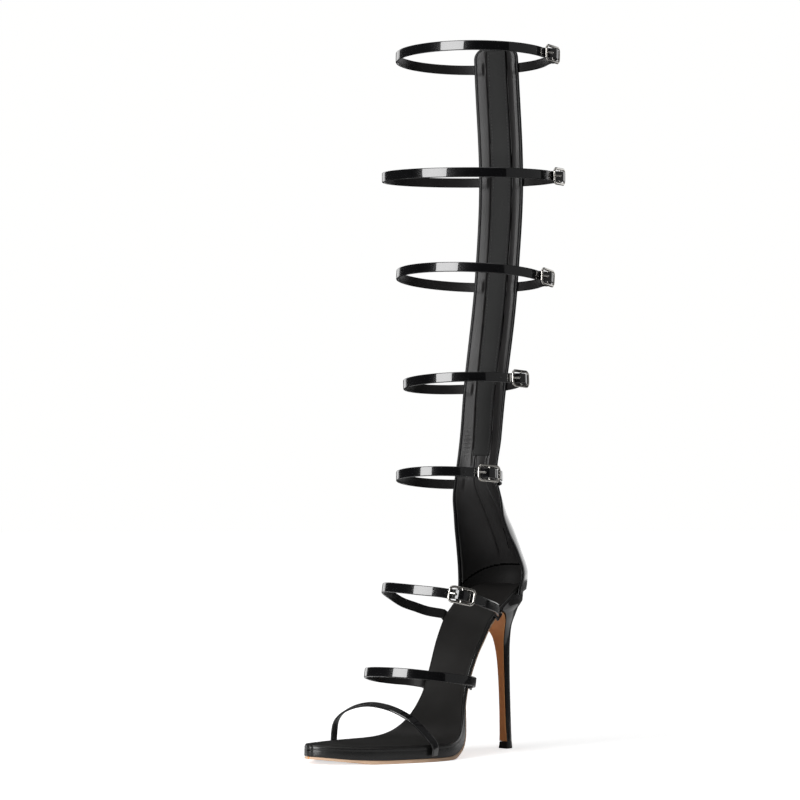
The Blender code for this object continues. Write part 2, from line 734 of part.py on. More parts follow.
def edge_end(y, side, loose=0.0):
    """Three points down the footbed's side, from its top edge to its lower edge."""
    points = []
    for depth, clear in ((-0.6, 1.3 + loose), (1.6, 0.8 + loose), (BED_THICK + SOLE_THIN, 0.7)):
        place_y, place_z = bed_point(y, depth)
        edge = max(side * bed_edges(place)[1 if side > 0 else 0] for place in (y - 2.0, y, y + 2.0))
        points.append((side * (edge + clear), place_y, place_z))
    return points


def foot_strap_frames(route, ends, per_span, up, loose=0.0):
    """Frames of a strap from the footbed's inner side over the foot to its outer side."""
    inner = edge_end(ends[0], -1)
    outer = edge_end(ends[1], 1, loose)
    points = smooth_route(inner[::-1] + list(route) + outer, per_span)
    frames = band_frames(points, [up] * len(points))
    middle = sum(points, Vector()) / len(points)
    fixed = []
    for point, along, across, outward in frames:
        if outward.dot(point - middle) < 0:
            outward = -outward
        fixed.append((point, along, across, outward))
    return fixed


def resample(frames, keep_from, keep_to, step):
    """Frames with closer spacing between two distances along a strap."""
    lengths = [0.0]
    for before, after in zip(frames, frames[1:]):
        lengths.append(lengths[-1] + (after[0] - before[0]).length)
    wanted = [length for length in lengths if length < keep_from or length > keep_to]
    count = round((keep_to - keep_from) / step)
    wanted += spread(keep_from, keep_to, count)
    out = []
    for length in sorted(wanted):
        i = 0
        while i < len(lengths) - 2 and lengths[i + 1] < length:
            i += 1
        amount = (length - lengths[i]) / (lengths[i + 1] - lengths[i])
        mixed = [frames[i][n].lerp(frames[i + 1][n], amount) for n in range(4)]
        out.append((length, (mixed[0], mixed[1].normalized(), mixed[2].normalized(), mixed[3].normalized())))
    return out


def make_instep_strap(patent, metal):
    """Buckled strap round the front of the ankle, held at both sides of the footbed."""
    up = Vector((-0.02, 0.2, 0.98))
    frames = foot_strap_frames(INSTEP_ROUTE, INSTEP_ENDS, 6, up)
    centre = round(INSTEP_BUCKLE * (len(frames) - 1))
    middle = sum((frames[i + 1][0] - frames[i][0]).length for i in range(centre))
    reach = BUCKLE_LONG / 2.0 + 3.0
    close = resample(frames, middle - reach, middle + reach, 1.2)
    tip = BUCKLE_LONG / 2.0 + FREE_TIP
    long_part = []
    short_part = []
    for length, (point, along, across, outward) in close:
        s = length - middle
        if s <= tip:
            long_part.append((point + outward * woven_lift(s), along, across, outward))
        if s >= MIDDLE_BAR / 2.0 + 0.5:
            short_part.append((point + outward * held_lift(s), along, across, outward))
    add_object("strap_instep", band(long_part, taper=2), patent)
    add_object("buckle_strap_instep", band(short_part), patent)
    make_buckle("buckle_instep", frames[centre], metal)


def make_midfoot_strap(patent):
    frames = foot_strap_frames(MIDFOOT_ROUTE, MIDFOOT_ENDS, 4, Vector((-0.03, 0.2, 0.98)), 1.4)
    add_object("strap_midfoot", band(frames), patent)


def make_toe_strap(patent):
    """Strap over the toes; both ends lie on the sides of the platform."""
    first = TOE_ROUTE[0]
    last = TOE_ROUTE[-1]
    inner = bed_edges(first[1])[0] - 0.6
    outer = bed_edges(last[1] + 4.0)[1] + 0.9
    low_inner = (inner, first[1], TOE_END_Z)
    low_outer = (outer, last[1], TOE_END_Z)
    route = (low_inner, (inner - 0.1, first[1], 12.0)) + TOE_ROUTE[1:-1] + ((outer + 0.1, last[1], 12.0), low_outer)
    points = smooth_route(route, 4)
    frames = []
    middle = Vector((0.0, -134.0, 10.0))
    for point, along, across, outward in band_frames(points, [Vector((0.2, -0.94, -0.28))] * len(points)):
        if outward.dot(point - middle) < 0:
            outward = -outward
        frames.append((point, along, across, outward))
    add_object("strap_toe", band(frames), patent)


def zip_axes(z):
    """Place on the strip's outer face, with its upward, sideways and outward directions."""
    here = leg_point(strip_turn(z), z, WALL + GAP)
    above = leg_point(strip_turn(z + 4), z + 4, WALL + GAP)
    below = leg_point(strip_turn(z - 4), z - 4, WALL + GAP)
    side = (leg_point(strip_turn(z) + 3, z, WALL) - leg_point(strip_turn(z) - 3, z, WALL)).normalized()
    up = (above - below).normalized()
    outward = up.cross(side).normalized()
    if outward.y < 0:
        outward = -outward
    side = outward.cross(up).normalized()
    if side.x < 0:
        side = -side
    return here, side, up, outward


def make_zip_chain(material):
    rings = []
    for z in spread(CHAIN_LOW, CHAIN_HIGH, 26):
        here, side, _, outward = zip_axes(z)
        half = CHAIN_WIDE / 2.0
        low = here + outward * 0.05
        rings.append((low - side * half, low + side * half,
                      low + side * (half - 0.5) + outward * CHAIN_THICK,
                      low - side * (half - 0.5) + outward * CHAIN_THICK))
    return add_object("zip_chain", loft(rings), material)


def slider_base():
    here, side, up, outward = zip_axes(SLIDER_Z)
    return here + outward * (CHAIN_THICK + GAP + 0.1), side, up, outward


def make_zip_slider(material):
    """Slider body and the arch that holds the pull, drawn in profile and raised sideways."""
    base, side, up, outward = slider_base()
    half = SLIDER_WIDE / 2.0
    tall = SLIDER_TALL / 2.0
    body = [(-half + 1.2, -tall), (half - 1.2, -tall), (half, -tall + 1.6), (half, tall - 2.4),
            (half - 2.0, tall), (-half + 2.0, tall), (-half, tall - 2.4), (-half, -tall + 1.6)]
    low = [base + side * a + up * b for a, b in body]
    high = [point + outward * SLIDER_THICK for point in low]
    made = add_object("zip_slider", slab(low, high), material)
    top = SLIDER_THICK
    rise = SLIDER_THICK + ARCH_RISE
    outline = [(-ARCH_HALF, top - 0.4), (ARCH_HALF, top - 0.4), (ARCH_HALF, rise - 1.0),
               (ARCH_HALF - 1.0, rise), (-ARCH_HALF + 1.0, rise), (-ARCH_HALF, rise - 1.0)]
    inner = ARCH_HALF - ARCH_LEG
    hole = [(-inner, top), (inner, top), (inner, rise - ARCH_BAR), (-inner, rise - ARCH_BAR)]
    start = base - side * (ARCH_WIDE / 2.0)
    arch = plate_with_holes(outline, [hole], start, (up, outward, side), ARCH_WIDE)
    cutter = add_object("arch_helper", arch, material)
    cutter.hide_render = True
    cutter.display_type = "WIRE"
    join = made.modifiers.new("arch", "BOOLEAN")
    join.operation = "UNION"
    join.solver = "EXACT"
    join.object = cutter
    return made


def pull_pivot():
    base, side, up, outward = slider_base()
    height = SLIDER_THICK + (ARCH_RISE - ARCH_BAR) / 2.0
    return base + outward * height, side, up, outward


def make_zip_pull(material):
    """Long pull with an eye round the slider's arch; its origin is on the hinge axis."""
    pivot, side, up, outward = pull_pivot()
    bar = PULL_THICK / 2.0
    half_top = PULL_TOP_WIDE / 2.0
    half_end = PULL_END_WIDE / 2.0
    eye = ARCH_WIDE / 2.0 + 0.4
    outline = [(-half_top, bar), (-half_top, -PULL_EYE - 2.0), (-half_end, -PULL_LONG + 2.0),
               (-half_end + 1.6, -PULL_LONG), (half_end - 1.6, -PULL_LONG), (half_end, -PULL_LONG + 2.0),
               (half_top, -PULL_EYE - 2.0), (half_top, bar)]
    hole = [(-eye, -bar), (eye, -bar), (eye, -PULL_EYE), (-eye, -PULL_EYE)]
    bm = plate_with_holes(outline, [hole], pivot - outward * bar, (side, up, outward), PULL_THICK)
    bmesh.ops.translate(bm, vec=-pivot, verts=bm.verts)
    made = add_object("zip_pull", bm, material)
    made.location = pivot * MM
    return made


def build():
    for item in list(bpy.data.objects):
        bpy.data.objects.remove(item, do_unlink=True)
    patent = add_material("patent_black", (0.012, 0.012, 0.013), 0.08)
    nappa = add_material("nappa_black", (0.03, 0.029, 0.028), 0.45)
    sole = add_material("sole_leather", (0.52, 0.27, 0.14), 0.5)
    rubber = add_material("tip_rubber", (0.02, 0.02, 0.02), 0.6)
    metal = add_material("pale_metal", (0.8, 0.77, 0.7), 0.2, 1.0)
    dark = add_material("black_metal", (0.03, 0.03, 0.03), 0.3, 0.6)
    make_upper(patent)
    make_footbed(nappa)
    make_platform(patent)
    make_outsole(sole)
    make_heel(patent)
    make_heel_tip(rubber)
    for loop in LOOPS:
        make_leg_loop(loop, patent, metal)
    make_instep_strap(patent, metal)
    make_midfoot_strap(patent)
    make_toe_strap(patent)
    make_zip_chain(dark)
    make_zip_slider(dark)
    make_zip_pull(dark)


build()
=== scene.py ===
# %% [markdown]
# # A knee-high strappy sandal in black patent leather
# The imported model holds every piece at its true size. This lesson gives each piece the finish of the
# real one: mirror-bright patent straps with turned edges, a soft black lining, pale buckles, a back zip
# and a tan leather sole. Everything is in metres, with the toe towards -Y and the outer side at +X.
# %% Load the frame
import json
import math
import random
from collections import namedtuple

import bmesh
import bpy
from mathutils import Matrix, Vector

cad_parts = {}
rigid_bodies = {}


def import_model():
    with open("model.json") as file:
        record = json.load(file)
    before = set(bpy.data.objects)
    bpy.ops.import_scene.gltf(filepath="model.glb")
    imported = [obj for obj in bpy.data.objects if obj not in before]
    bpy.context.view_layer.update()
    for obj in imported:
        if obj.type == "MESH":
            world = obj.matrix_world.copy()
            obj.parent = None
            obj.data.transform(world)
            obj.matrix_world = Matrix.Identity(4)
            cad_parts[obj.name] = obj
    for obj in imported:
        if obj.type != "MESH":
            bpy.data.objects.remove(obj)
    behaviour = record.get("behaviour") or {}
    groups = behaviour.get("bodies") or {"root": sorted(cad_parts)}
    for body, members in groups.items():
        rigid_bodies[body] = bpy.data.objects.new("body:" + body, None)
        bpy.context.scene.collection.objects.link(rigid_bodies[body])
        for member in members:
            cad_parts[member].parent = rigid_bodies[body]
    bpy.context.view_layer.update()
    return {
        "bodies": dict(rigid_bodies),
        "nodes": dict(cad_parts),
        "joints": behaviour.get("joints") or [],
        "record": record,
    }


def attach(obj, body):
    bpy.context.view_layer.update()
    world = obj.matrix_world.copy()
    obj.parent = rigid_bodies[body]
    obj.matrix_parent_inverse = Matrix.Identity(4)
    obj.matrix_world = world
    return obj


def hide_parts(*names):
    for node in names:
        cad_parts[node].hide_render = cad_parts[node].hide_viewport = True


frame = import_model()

scene = bpy.context.scene
scene.view_settings.view_transform = "Standard"

# %% [markdown]
# ## Camera
# The sandal is seen from its toe and outer side, 44 degrees round, with the lens at a third of its
# height and tilted up a little. A long lens keeps the tall strip from narrowing towards the top.
# %% Place the camera
CAMERA_TURN = math.radians(44.0)
CAMERA_BACK = 2.2
CAMERA_SIDE = -0.0809
CAMERA_HEIGHT = 0.19
CAMERA_TILT = math.radians(1.947)
LENS_MM = 129.8

right = Vector((math.cos(CAMERA_TURN), math.sin(CAMERA_TURN), 0.0))
ahead = Vector((-math.sin(CAMERA_TURN), math.cos(CAMERA_TURN), 0.0))
camera = bpy.data.objects.new("camera", bpy.data.cameras.new("camera"))
camera.data.lens = LENS_MM
camera.data.clip_start = 0.05
camera.location = right * CAMERA_SIDE - ahead * CAMERA_BACK + Vector((0.0, 0.0, CAMERA_HEIGHT))
camera.rotation_euler = (math.radians(90.0) + CAMERA_TILT, 0.0, CAMERA_TURN)
scene.collection.objects.link(camera)
scene.camera = camera
print("camera at", [round(value, 3) for value in camera.location])

# %% [markdown]
# ## Studio
# Patent leather is almost a mirror, so its look comes from what stands round it. A tall soft box in
# front of the toe puts one clean bright patch on every strap, a dim panel beside the heel and a narrow
# box on the inner side break up the rest, and a broad light overhead opens up the lining. The room itself
# is dark, with one bright wall far behind the heel.
# %% Light the studio
BoxRow = namedtuple("BoxRow", "name turn distance height size radiance")
# turn is a box's place round the sandal in degrees, 0 in front of the toe and 90 on the outer side.
SOFT_BOXES = (
    BoxRow("key_box", 0.0, 1.6, 0.62, (0.84, 1.15), 10.0),
    BoxRow("side_panel", 112.0, 1.9, 0.55, (2.2, 1.7), 0.24),
    BoxRow("back_box", -107.0, 1.8, 0.55, (0.6, 1.4), 1.2),
    BoxRow("top_box", 30.0, 0.4, 2.2, (1.6, 1.6), 1.3),
)
BOXES_AIM = Vector((0.0, -0.06, 0.25))


def add_soft_box(row):
    """Rectangular light that faces the sandal and is not seen itself."""
    light = bpy.data.lights.new(row.name, "AREA")
    light.shape = "RECTANGLE"
    light.size, light.size_y = row.size
    light.energy = row.radiance * math.pi * row.size[0] * row.size[1]
    item = bpy.data.objects.new(row.name, light)
    angle = math.radians(row.turn)
    item.location = (math.sin(angle) * row.distance, -math.cos(angle) * row.distance, row.height)
    item.rotation_euler = (BOXES_AIM - item.location).to_track_quat("-Z", "Y").to_euler()
    item.visible_camera = False
    scene.collection.objects.link(item)


for row in SOFT_BOXES:
    add_soft_box(row)
print("studio lights:", len(SOFT_BOXES))

# %% Make the room and the floor
WHITE = (1.0, 1.0, 1.0, 1.0)
BACKDROP = (1.0, 1.0, 0.995, 1.0)
ROOM_DARK = 0.03
ROOM_CEILING = 0.14
CEILING_EDGE = (0.2, 0.75)
ROOM_WALL = 1.3
WALL_TURN = math.radians(189.0)
WALL_TOWARDS = Vector((math.sin(WALL_TURN), -math.cos(WALL_TURN), 0.0))
WALL_EDGE = (0.84, 0.93)
# How far from the origin the floor's glow rises to full, and how far from under the sandal it turns dark.
FLOOR_GLOW = 0.66
FLOOR_GLOW_EDGE = (0.25, 0.5)
FLOOR_MIDDLE = (0.05, -0.16, 0.0)
FLOOR_PALE = 0.8
FLOOR_DARK = 0.1
FLOOR_DARK_EDGE = (0.55, 0.63)
FLOOR_WALL_EDGE = (2.0, 2.8)
FLOOR_RADIUS = 14.0


def feed(tree, socket, value):
    """Link a socket to another node's output, or give it a constant."""
    if isinstance(value, bpy.types.NodeSocket):
        tree.links.new(value, socket)
    else:
        socket.default_value = value


def add_node(tree, kind, *values, operation=None, **named):
    """Node with its inputs fed in order or by name, where an underscore stands for a space."""
    node = tree.nodes.new("ShaderNode" + kind)
    if operation:
        node.operation = operation
    for i, value in enumerate(values):
        feed(tree, node.inputs[i], value)
    for label, value in named.items():
        feed(tree, node.inputs[label.replace("_", " ")], value)
    return node


def ramp_between(tree, source, low, high, dark, bright):
    """Smooth step of a value."""
    ramp = add_node(tree, "MapRange", Value=source, From_Min=low, From_Max=high, To_Min=dark, To_Max=bright)
    ramp.interpolation_type = "SMOOTHSTEP"
    return ramp.outputs["Result"]


def towards_wall(tree, direction, bright):
    """Brightness of the wall in a direction: bright at its middle and nothing beside it."""
    level = add_node(tree, "VectorMath", direction, WALL_TOWARDS, operation="DOT_PRODUCT")
    return ramp_between(tree, level.outputs["Value"], *WALL_EDGE, 0.0, bright)


def make_room():
    """White to the lens; to everything else a dark room with one bright wall behind the heel."""
    world = bpy.data.worlds.new("studio")
    world.use_nodes = True
    tree = world.node_tree
    tree.nodes.clear()
    direction = add_node(tree, "TexCoord").outputs["Generated"]
    upwards = add_node(tree, "SeparateXYZ", Vector=direction).outputs["Z"]
    ceiling = ramp_between(tree, upwards, *CEILING_EDGE, ROOM_DARK, ROOM_CEILING)
    wall = towards_wall(tree, direction, ROOM_WALL)
    total = add_node(tree, "Math", ceiling, wall, operation="ADD")
    grey = add_node(tree, "Background", Strength=total.outputs["Value"])
    white = add_node(tree, "Background", Color=BACKDROP, Strength=1.0)
    to_lens = add_node(tree, "LightPath").outputs["Is Camera Ray"]
    pick = add_node(tree, "MixShader", to_lens, grey.outputs["Background"], white.outputs["Background"])
    add_node(tree, "OutputWorld", Surface=pick.outputs["Shader"])
    scene.world = world


def make_floor_paint():
    """Matte and pale under the sandal, dark beyond, and bright again far off below the wall.

    To the lens it glows too, more the further away it is, so it runs into the white behind it.
    """
    paint = bpy.data.materials.new("floor_paint")
    paint.use_nodes = True
    tree = paint.node_tree
    shader = tree.nodes["Principled BSDF"]
    shader.inputs["Roughness"].default_value = 0.9
    shader.inputs["Specular IOR Level"].default_value = 0.1
    shader.inputs["Emission Color"].default_value = WHITE
    place = add_node(tree, "TexCoord").outputs["Object"]
    away = add_node(tree, "VectorMath", place, operation="LENGTH").outputs["Value"]
    apart = add_node(tree, "VectorMath", place, FLOOR_MIDDLE, operation="DISTANCE").outputs["Value"]
    heading = add_node(tree, "VectorMath", place, operation="NORMALIZE").outputs["Vector"]
    to_lens = add_node(tree, "LightPath").outputs["Is Camera Ray"]
    glow = ramp_between(tree, away, *FLOOR_GLOW_EDGE, FLOOR_GLOW, 1.0)
    glow = add_node(tree, "Math", glow, to_lens, operation="MULTIPLY").outputs["Value"]
    below_wall = ramp_between(tree, away, *FLOOR_WALL_EDGE, 0.0, ROOM_WALL)
    wall = towards_wall(tree, heading, 1.0)
    total = add_node(tree, "Math", below_wall, wall, glow, operation="MULTIPLY_ADD")
    shade = ramp_between(tree, apart, *FLOOR_DARK_EDGE, FLOOR_PALE, FLOOR_DARK)
    feed(tree, shader.inputs["Base Color"], shade)
    feed(tree, shader.inputs["Emission Strength"], total.outputs["Value"])
    return paint


def make_floor():
    mesh = bpy.data.meshes.new("floor")
    bm = bmesh.new()
    bmesh.ops.create_circle(bm, cap_ends=True, segments=96, radius=FLOOR_RADIUS)
    bm.to_mesh(mesh)
    bm.free()
    floor = bpy.data.objects.new("floor", mesh)
    scene.collection.objects.link(floor)
    mesh.materials.append(make_floor_paint())


make_room()
make_floor()
print("room and floor are in place")

# %% [markdown]
# ## Shared surface effects
# Four effects dress the finishes: the pebble of leather, the slow waves of a lacquered surface, a slight
# unevenness of colour and the weave of a tape. Each is a node group that gives out a height or a colour
# and a mask, and each material chooses its own numbers.
# %% Build the node groups
def start_group(name, inputs, outputs):
    """New shader group with float or colour sockets."""
    group = bpy.data.node_groups.new(name, "ShaderNodeTree")
    for label, kind, value in inputs:
        socket = group.interface.new_socket(name=label, in_out="INPUT", socket_type=kind)
        socket.default_value = value
    for label, kind in outputs:
        group.interface.new_socket(name=label, in_out="OUTPUT", socket_type=kind)
    return group, group.nodes.new("NodeGroupInput"), group.nodes.new("NodeGroupOutput")


FINE_SHARE = 0.35


def make_grain_group():
    """Leather pebble: rounded cells broken up by a finer noise."""
    group, given, out = start_group(
        "leather_grain",
        [("Cells", "NodeSocketFloat", 2200.0), ("Fine", "NodeSocketFloat", 6000.0)],
        [("Height", "NodeSocketFloat")])
    place = add_node(group, "TexCoord").outputs["Object"]
    cells = add_node(group, "TexVoronoi", Vector=place, Scale=given.outputs["Cells"])
    cells.feature = "SMOOTH_F1"
    fine = add_node(group, "TexNoise", Vector=place, Scale=given.outputs["Fine"], Detail=3.0)
    both = add_node(group, "Math", fine.outputs["Fac"], FINE_SHARE, cells.outputs["Distance"],
                    operation="MULTIPLY_ADD")
    feed(group, out.inputs["Height"], both.outputs["Value"])
    return group


def make_wave_group():
    """Slow waves, as lacquer shows when it reflects a straight edge."""
    group, given, out = start_group(
        "lacquer_waves", [("Scale", "NodeSocketFloat", 160.0)], [("Height", "NodeSocketFloat")])
    place = add_node(group, "TexCoord").outputs["Object"]
    waves = add_node(group, "TexNoise", Vector=place, Scale=given.outputs["Scale"], Detail=1.5)
    feed(group, out.inputs["Height"], waves.outputs["Fac"])
    return group


def make_mottle_group():
    """Two near colours mixed by soft noise, drawn out along one axis where Stretch is not 1."""
    group, given, out = start_group(
        "mottle",
        [("Dark", "NodeSocketColor", (0.1, 0.1, 0.1, 1.0)),
         ("Light", "NodeSocketColor", (0.2, 0.2, 0.2, 1.0)),
         ("Scale", "NodeSocketFloat", 60.0), ("Stretch", "NodeSocketFloat", 1.0)],
        [("Color", "NodeSocketColor"), ("Mask", "NodeSocketFloat")])
    split = add_node(group, "SeparateXYZ", Vector=add_node(group, "TexCoord").outputs["Object"]).outputs
    squeeze = add_node(group, "Math", split["Z"], given.outputs["Stretch"], operation="MULTIPLY")
    join = add_node(group, "CombineXYZ", X=split["X"], Y=split["Y"], Z=squeeze.outputs["Value"])
    cloud = add_node(group, "TexNoise", Vector=join.outputs["Vector"], Scale=given.outputs["Scale"],
                     Detail=5.0)
    ramp = add_node(group, "MapRange", Value=cloud.outputs["Fac"], From_Min=0.3, From_Max=0.7)
    mask = ramp.outputs["Result"]
    mix = add_node(group, "Mix")
    mix.data_type = "RGBA"
    for label, value in (("Factor", mask), ("A", given.outputs["Dark"]), ("B", given.outputs["Light"])):
        feed(group, mix.inputs[label], value)
    feed(group, out.inputs["Color"], mix.outputs["Result"])
    feed(group, out.inputs["Mask"], mask)
    return group


def make_weave_group():
    """Fine over-and-under weave for the zip's tape."""
    group, given, out = start_group(
        "tape_weave", [("Threads", "NodeSocketFloat", 9000.0)], [("Height", "NodeSocketFloat")])
    split = add_node(group, "SeparateXYZ", Vector=add_node(group, "TexCoord").outputs["Object"])
    waves = []
    for axis in ("X", "Z"):
        scale = add_node(group, "Math", split.outputs[axis], given.outputs["Threads"], operation="MULTIPLY")
        waves.append(add_node(group, "Math", scale.outputs["Value"], operation="SINE").outputs["Value"])
    cross = add_node(group, "Math", *waves, operation="MULTIPLY")
    feed(group, out.inputs["Height"], cross.outputs["Value"])
    return group


GRAIN = make_grain_group()
WAVES = make_wave_group()
MOTTLE = make_mottle_group()
WEAVE = make_weave_group()
print("node groups:", [group.name for group in bpy.data.node_groups])

# %% [markdown]
# ## Finishes
# Each finish is one Principled shader. What is the same all over the surface sits on the shader's own
# sockets, and only colour, roughness and relief come through the groups.
# %% Define the finishes
def use_group(material, group, **values):
    node = material.node_tree.nodes.new("ShaderNodeGroup")
    node.node_tree = group
    for label, value in values.items():
        node.inputs[label].default_value = value
    return node


def make_finish(name, colour, rough, dark, light, scale, stretch=1.0, vary=None, relief=None, **constants):
    """Mottled finish; vary is a range of roughness, relief is (group, its values, depth, strength)."""
    material = bpy.data.materials.new(name)
    material.use_nodes = True
    tree = material.node_tree
    shader = tree.nodes["Principled BSDF"]
    shader.inputs["Base Color"].default_value = (*colour, 1.0)
    shader.inputs["Roughness"].default_value = rough
    for label, value in constants.items():
        shader.inputs[label.replace("_", " ")].default_value = value
    mottle = use_group(material, MOTTLE, Dark=(*dark, 1.0), Light=(*light, 1.0), Scale=scale, Stretch=stretch)
    feed(tree, shader.inputs["Base Color"], mottle.outputs["Color"])
    if vary:
        ramp = add_node(tree, "MapRange", Value=mottle.outputs["Mask"], To_Min=vary[0], To_Max=vary[1])
        feed(tree, shader.inputs["Roughness"], ramp.outputs["Result"])
    if relief:
        group, values, depth, strength = relief
        height = use_group(material, group, **values).outputs["Height"]
        bump = add_node(tree, "Bump", Strength=strength, Distance=depth, Height=height)
        feed(tree, shader.inputs["Normal"], bump.outputs["Normal"])
    return material


def make_lining(name, dark, light, roughness, shine):
    """Soft leather with a fine pebble."""
    pebble = (GRAIN, {"Cells": 1500.0, "Fine": 5200.0}, 0.00012, 0.5)
    return make_finish(name, light, roughness[0], dark, light, 28.0, vary=roughness, relief=pebble,
                       Specular_IOR_Level=shine)


def make_sole_leather(name, dark, light, roughness, stretch):
    """Firm leather, with its colour drawn out along one axis by stretch."""
    pebble = (GRAIN, {"Cells": 2600.0, "Fine": 9000.0}, 0.00008, 0.35)
    return make_finish(name, light, roughness[0], dark, light, 90.0, stretch, vary=roughness, relief=pebble,
                       Specular_IOR_Level=0.2)


def make_metal(name, dark, light, roughness, scale):
    return make_finish(name, light, roughness[0], dark, light, scale, vary=roughness, Metallic=1.0)


# Patent is near-black leather under a clear, slightly wavy lacquer.
PATENT = make_finish(
    "patent_leather", (0.003, 0.003, 0.0034), 0.2, (0.0022, 0.0022, 0.0026), (0.0045, 0.0045, 0.005), 45.0,
    vary=(0.16, 0.26), relief=(WAVES, {"Scale": 190.0}, 0.00006, 1.0),
    Coat_Weight=1.0, Coat_Roughness=0.012, Coat_IOR=1.58, Specular_IOR_Level=0.2)
LINING = make_lining("lining_leather", (0.011, 0.0105, 0.0105), (0.016, 0.0152, 0.0152), (0.36, 0.44), 0.28)
GUARD = make_lining("guard_leather", (0.011, 0.0112, 0.011), (0.016, 0.0162, 0.016), (0.5, 0.6), 0.12)
GRIP = make_lining("grip_leather", (0.0085, 0.0083, 0.0082), (0.0125, 0.012, 0.0118), (0.55, 0.65), 0.07)
EDGE = make_lining("turned_edge", (0.006, 0.006, 0.0064), (0.0085, 0.0085, 0.009), (0.3, 0.38), 0.2)
WRAP = make_lining("wrap_leather", (0.008, 0.008, 0.0078), (0.012, 0.012, 0.0116), (0.2, 0.26), 0.5)
# Near-black finish that paints the shade falling into the lining's seams, the slit and over the grip's edge.
PAINTED_GAP_SHADE = make_lining("painted_gap_shade", (0.0008, 0.0008, 0.0008), (0.0014, 0.0014, 0.0014), (0.8, 0.9), 0.02)
SOCK = make_lining("sock_leather", (0.0095, 0.009, 0.0085), (0.014, 0.0132, 0.0125), (0.42, 0.52), 0.22)
SOLE = make_sole_leather("sole_leather", (0.60, 0.26, 0.095), (0.73, 0.34, 0.14), (0.42, 0.58), 0.2)
SOLE_EDGE = make_sole_leather("sole_edge", (0.60, 0.40, 0.27), (0.70, 0.50, 0.35), (0.45, 0.6), 6.0)
SILVER = make_metal("pale_metal", (0.55, 0.53, 0.50), (0.66, 0.64, 0.60), (0.1, 0.2), 220.0)
BLACK_METAL = make_metal("black_metal", (0.03, 0.03, 0.031), (0.055, 0.055, 0.057), (0.22, 0.32), 180.0)
RUBBER = make_finish(
    "tip_rubber", (0.006, 0.006, 0.006), 0.42, (0.005, 0.005, 0.005), (0.009, 0.009, 0.0085), 300.0,
    vary=(0.34, 0.5), relief=(GRAIN, {"Cells": 3500.0, "Fine": 9000.0}, 0.00004, 0.5), Specular_IOR_Level=0.3)
TAPE = make_finish(
    "zip_tape", (0.011, 0.011, 0.012), 0.75, (0.008, 0.008, 0.009), (0.014, 0.014, 0.015), 400.0,
    relief=(WEAVE, {"Threads": 9000.0}, 0.00005, 1.0), Sheen_Weight=0.2)
THREAD = make_finish(
    "thread", (0.012, 0.012, 0.013), 0.5, (0.008, 0.008, 0.009), (0.018, 0.018, 0.019), 1500.0,
    relief=(GRAIN, {"Cells": 6000.0, "Fine": 14000.0}, 0.00003, 1.0), Sheen_Weight=0.25)
print("finishes:", len(bpy.data.materials))

# %% [markdown]
# ## Measures
# The tables repeat the model's own sections, in millimetres, so that the fine surfaces lie where the
# solids do. The origin is on the floor under the heel tip.
# %% Sections of the leg, the footbed and the heel
MM = 0.001
WALL = 2.0
STRAP_WIDTH = 7.2
STRAP_THICK = 1.5
BED_THICK = 3.6
STRIP_TOP = 534.0
STRIP_CORNER = 9.0
CUP_BLEND_TOP = 140.0
CUP_FRONT_DEG = 86.0
CUP_TURN = -10.0
SANDAL = "sandal"
PULL_BODY = "zip_pull"

LegRow = namedtuple("LegRow", "z mid_x mid_y half_x half_y skew turn span")
# Inside of the leg and heel cup at each height. skew leans the oval towards the outer back, turn is where
# the strip's middle lies and span is half of its width, both in degrees round the oval.
LEG = [LegRow(*row) for row in (
    (104.0, -4.0, -22.4, 25.4, 34.0, 0.0, -10.0, 86.0),
    (120.0, -4.0, -22.4, 25.6, 37.2, 0.0, -9.0, 79.0),
    (134.0, -4.0, -22.4, 25.4, 39.6, 0.0, -12.5, 75.5),
    (150.0, -4.0, -25.9, 24.4, 35.5, 0.0, -11.0, 75.5),
    (165.0, -4.2, -31.9, 23.8, 33.5, 0.0, -4.5, 76.5),
    (180.0, -4.4, -41.4, 25.0, 33.5, -0.3, -2.0, 66.0),
    (203.0, -3.4, -59.4, 33.7, 39.6, -1.5, -5.0, 37.0),
    (235.0, -1.0, -56.4, 36.5, 39.0, -1.2, -8.0, 31.0),
    (274.0, 3.0, -53.5, 41.6, 39.0, -0.7, -11.7, 26.7),
    (352.0, 9.2, -49.8, 52.1, 46.1, 2.0, -16.6, 19.9),
    (431.0, 10.8, -53.8, 58.0, 55.0, 4.5, -16.9, 17.2),
    (517.0, 17.0, -55.9, 57.2, 49.2, 0.5, -18.2, 18.8),
    (534.0, 17.6, -56.6, 56.8, 48.2, 0.2, -18.3, 18.8),
)]

LoopRow = namedtuple("LoopRow", "name z front_rise outer_rise buckle_deg tip gap")
# Straps round the leg: height at the strip, slopes towards the front and the outer side, where the buckle
# sits round the oval, and the length that passes beyond it.
LOOPS = [LoopRow(*row) for row in (
    ("top", 517.5, 0.032, -0.004, 66.5, 13.0, 0.3),
    ("calf", 431.5, -0.025, -0.026, 57.0, 12.0, 0.3),
    ("shin", 350.8, 0.092, 0.015, 64.0, 14.0, 0.3),
    ("lower", 273.9, 0.036, 0.063, 73.0, 12.0, 0.35),
    ("ankle", 201.1, 0.088, 0.072, 90.5, 12.0, 0.8),
)]

BedRow = namedtuple("BedRow", "y z inner outer thick")
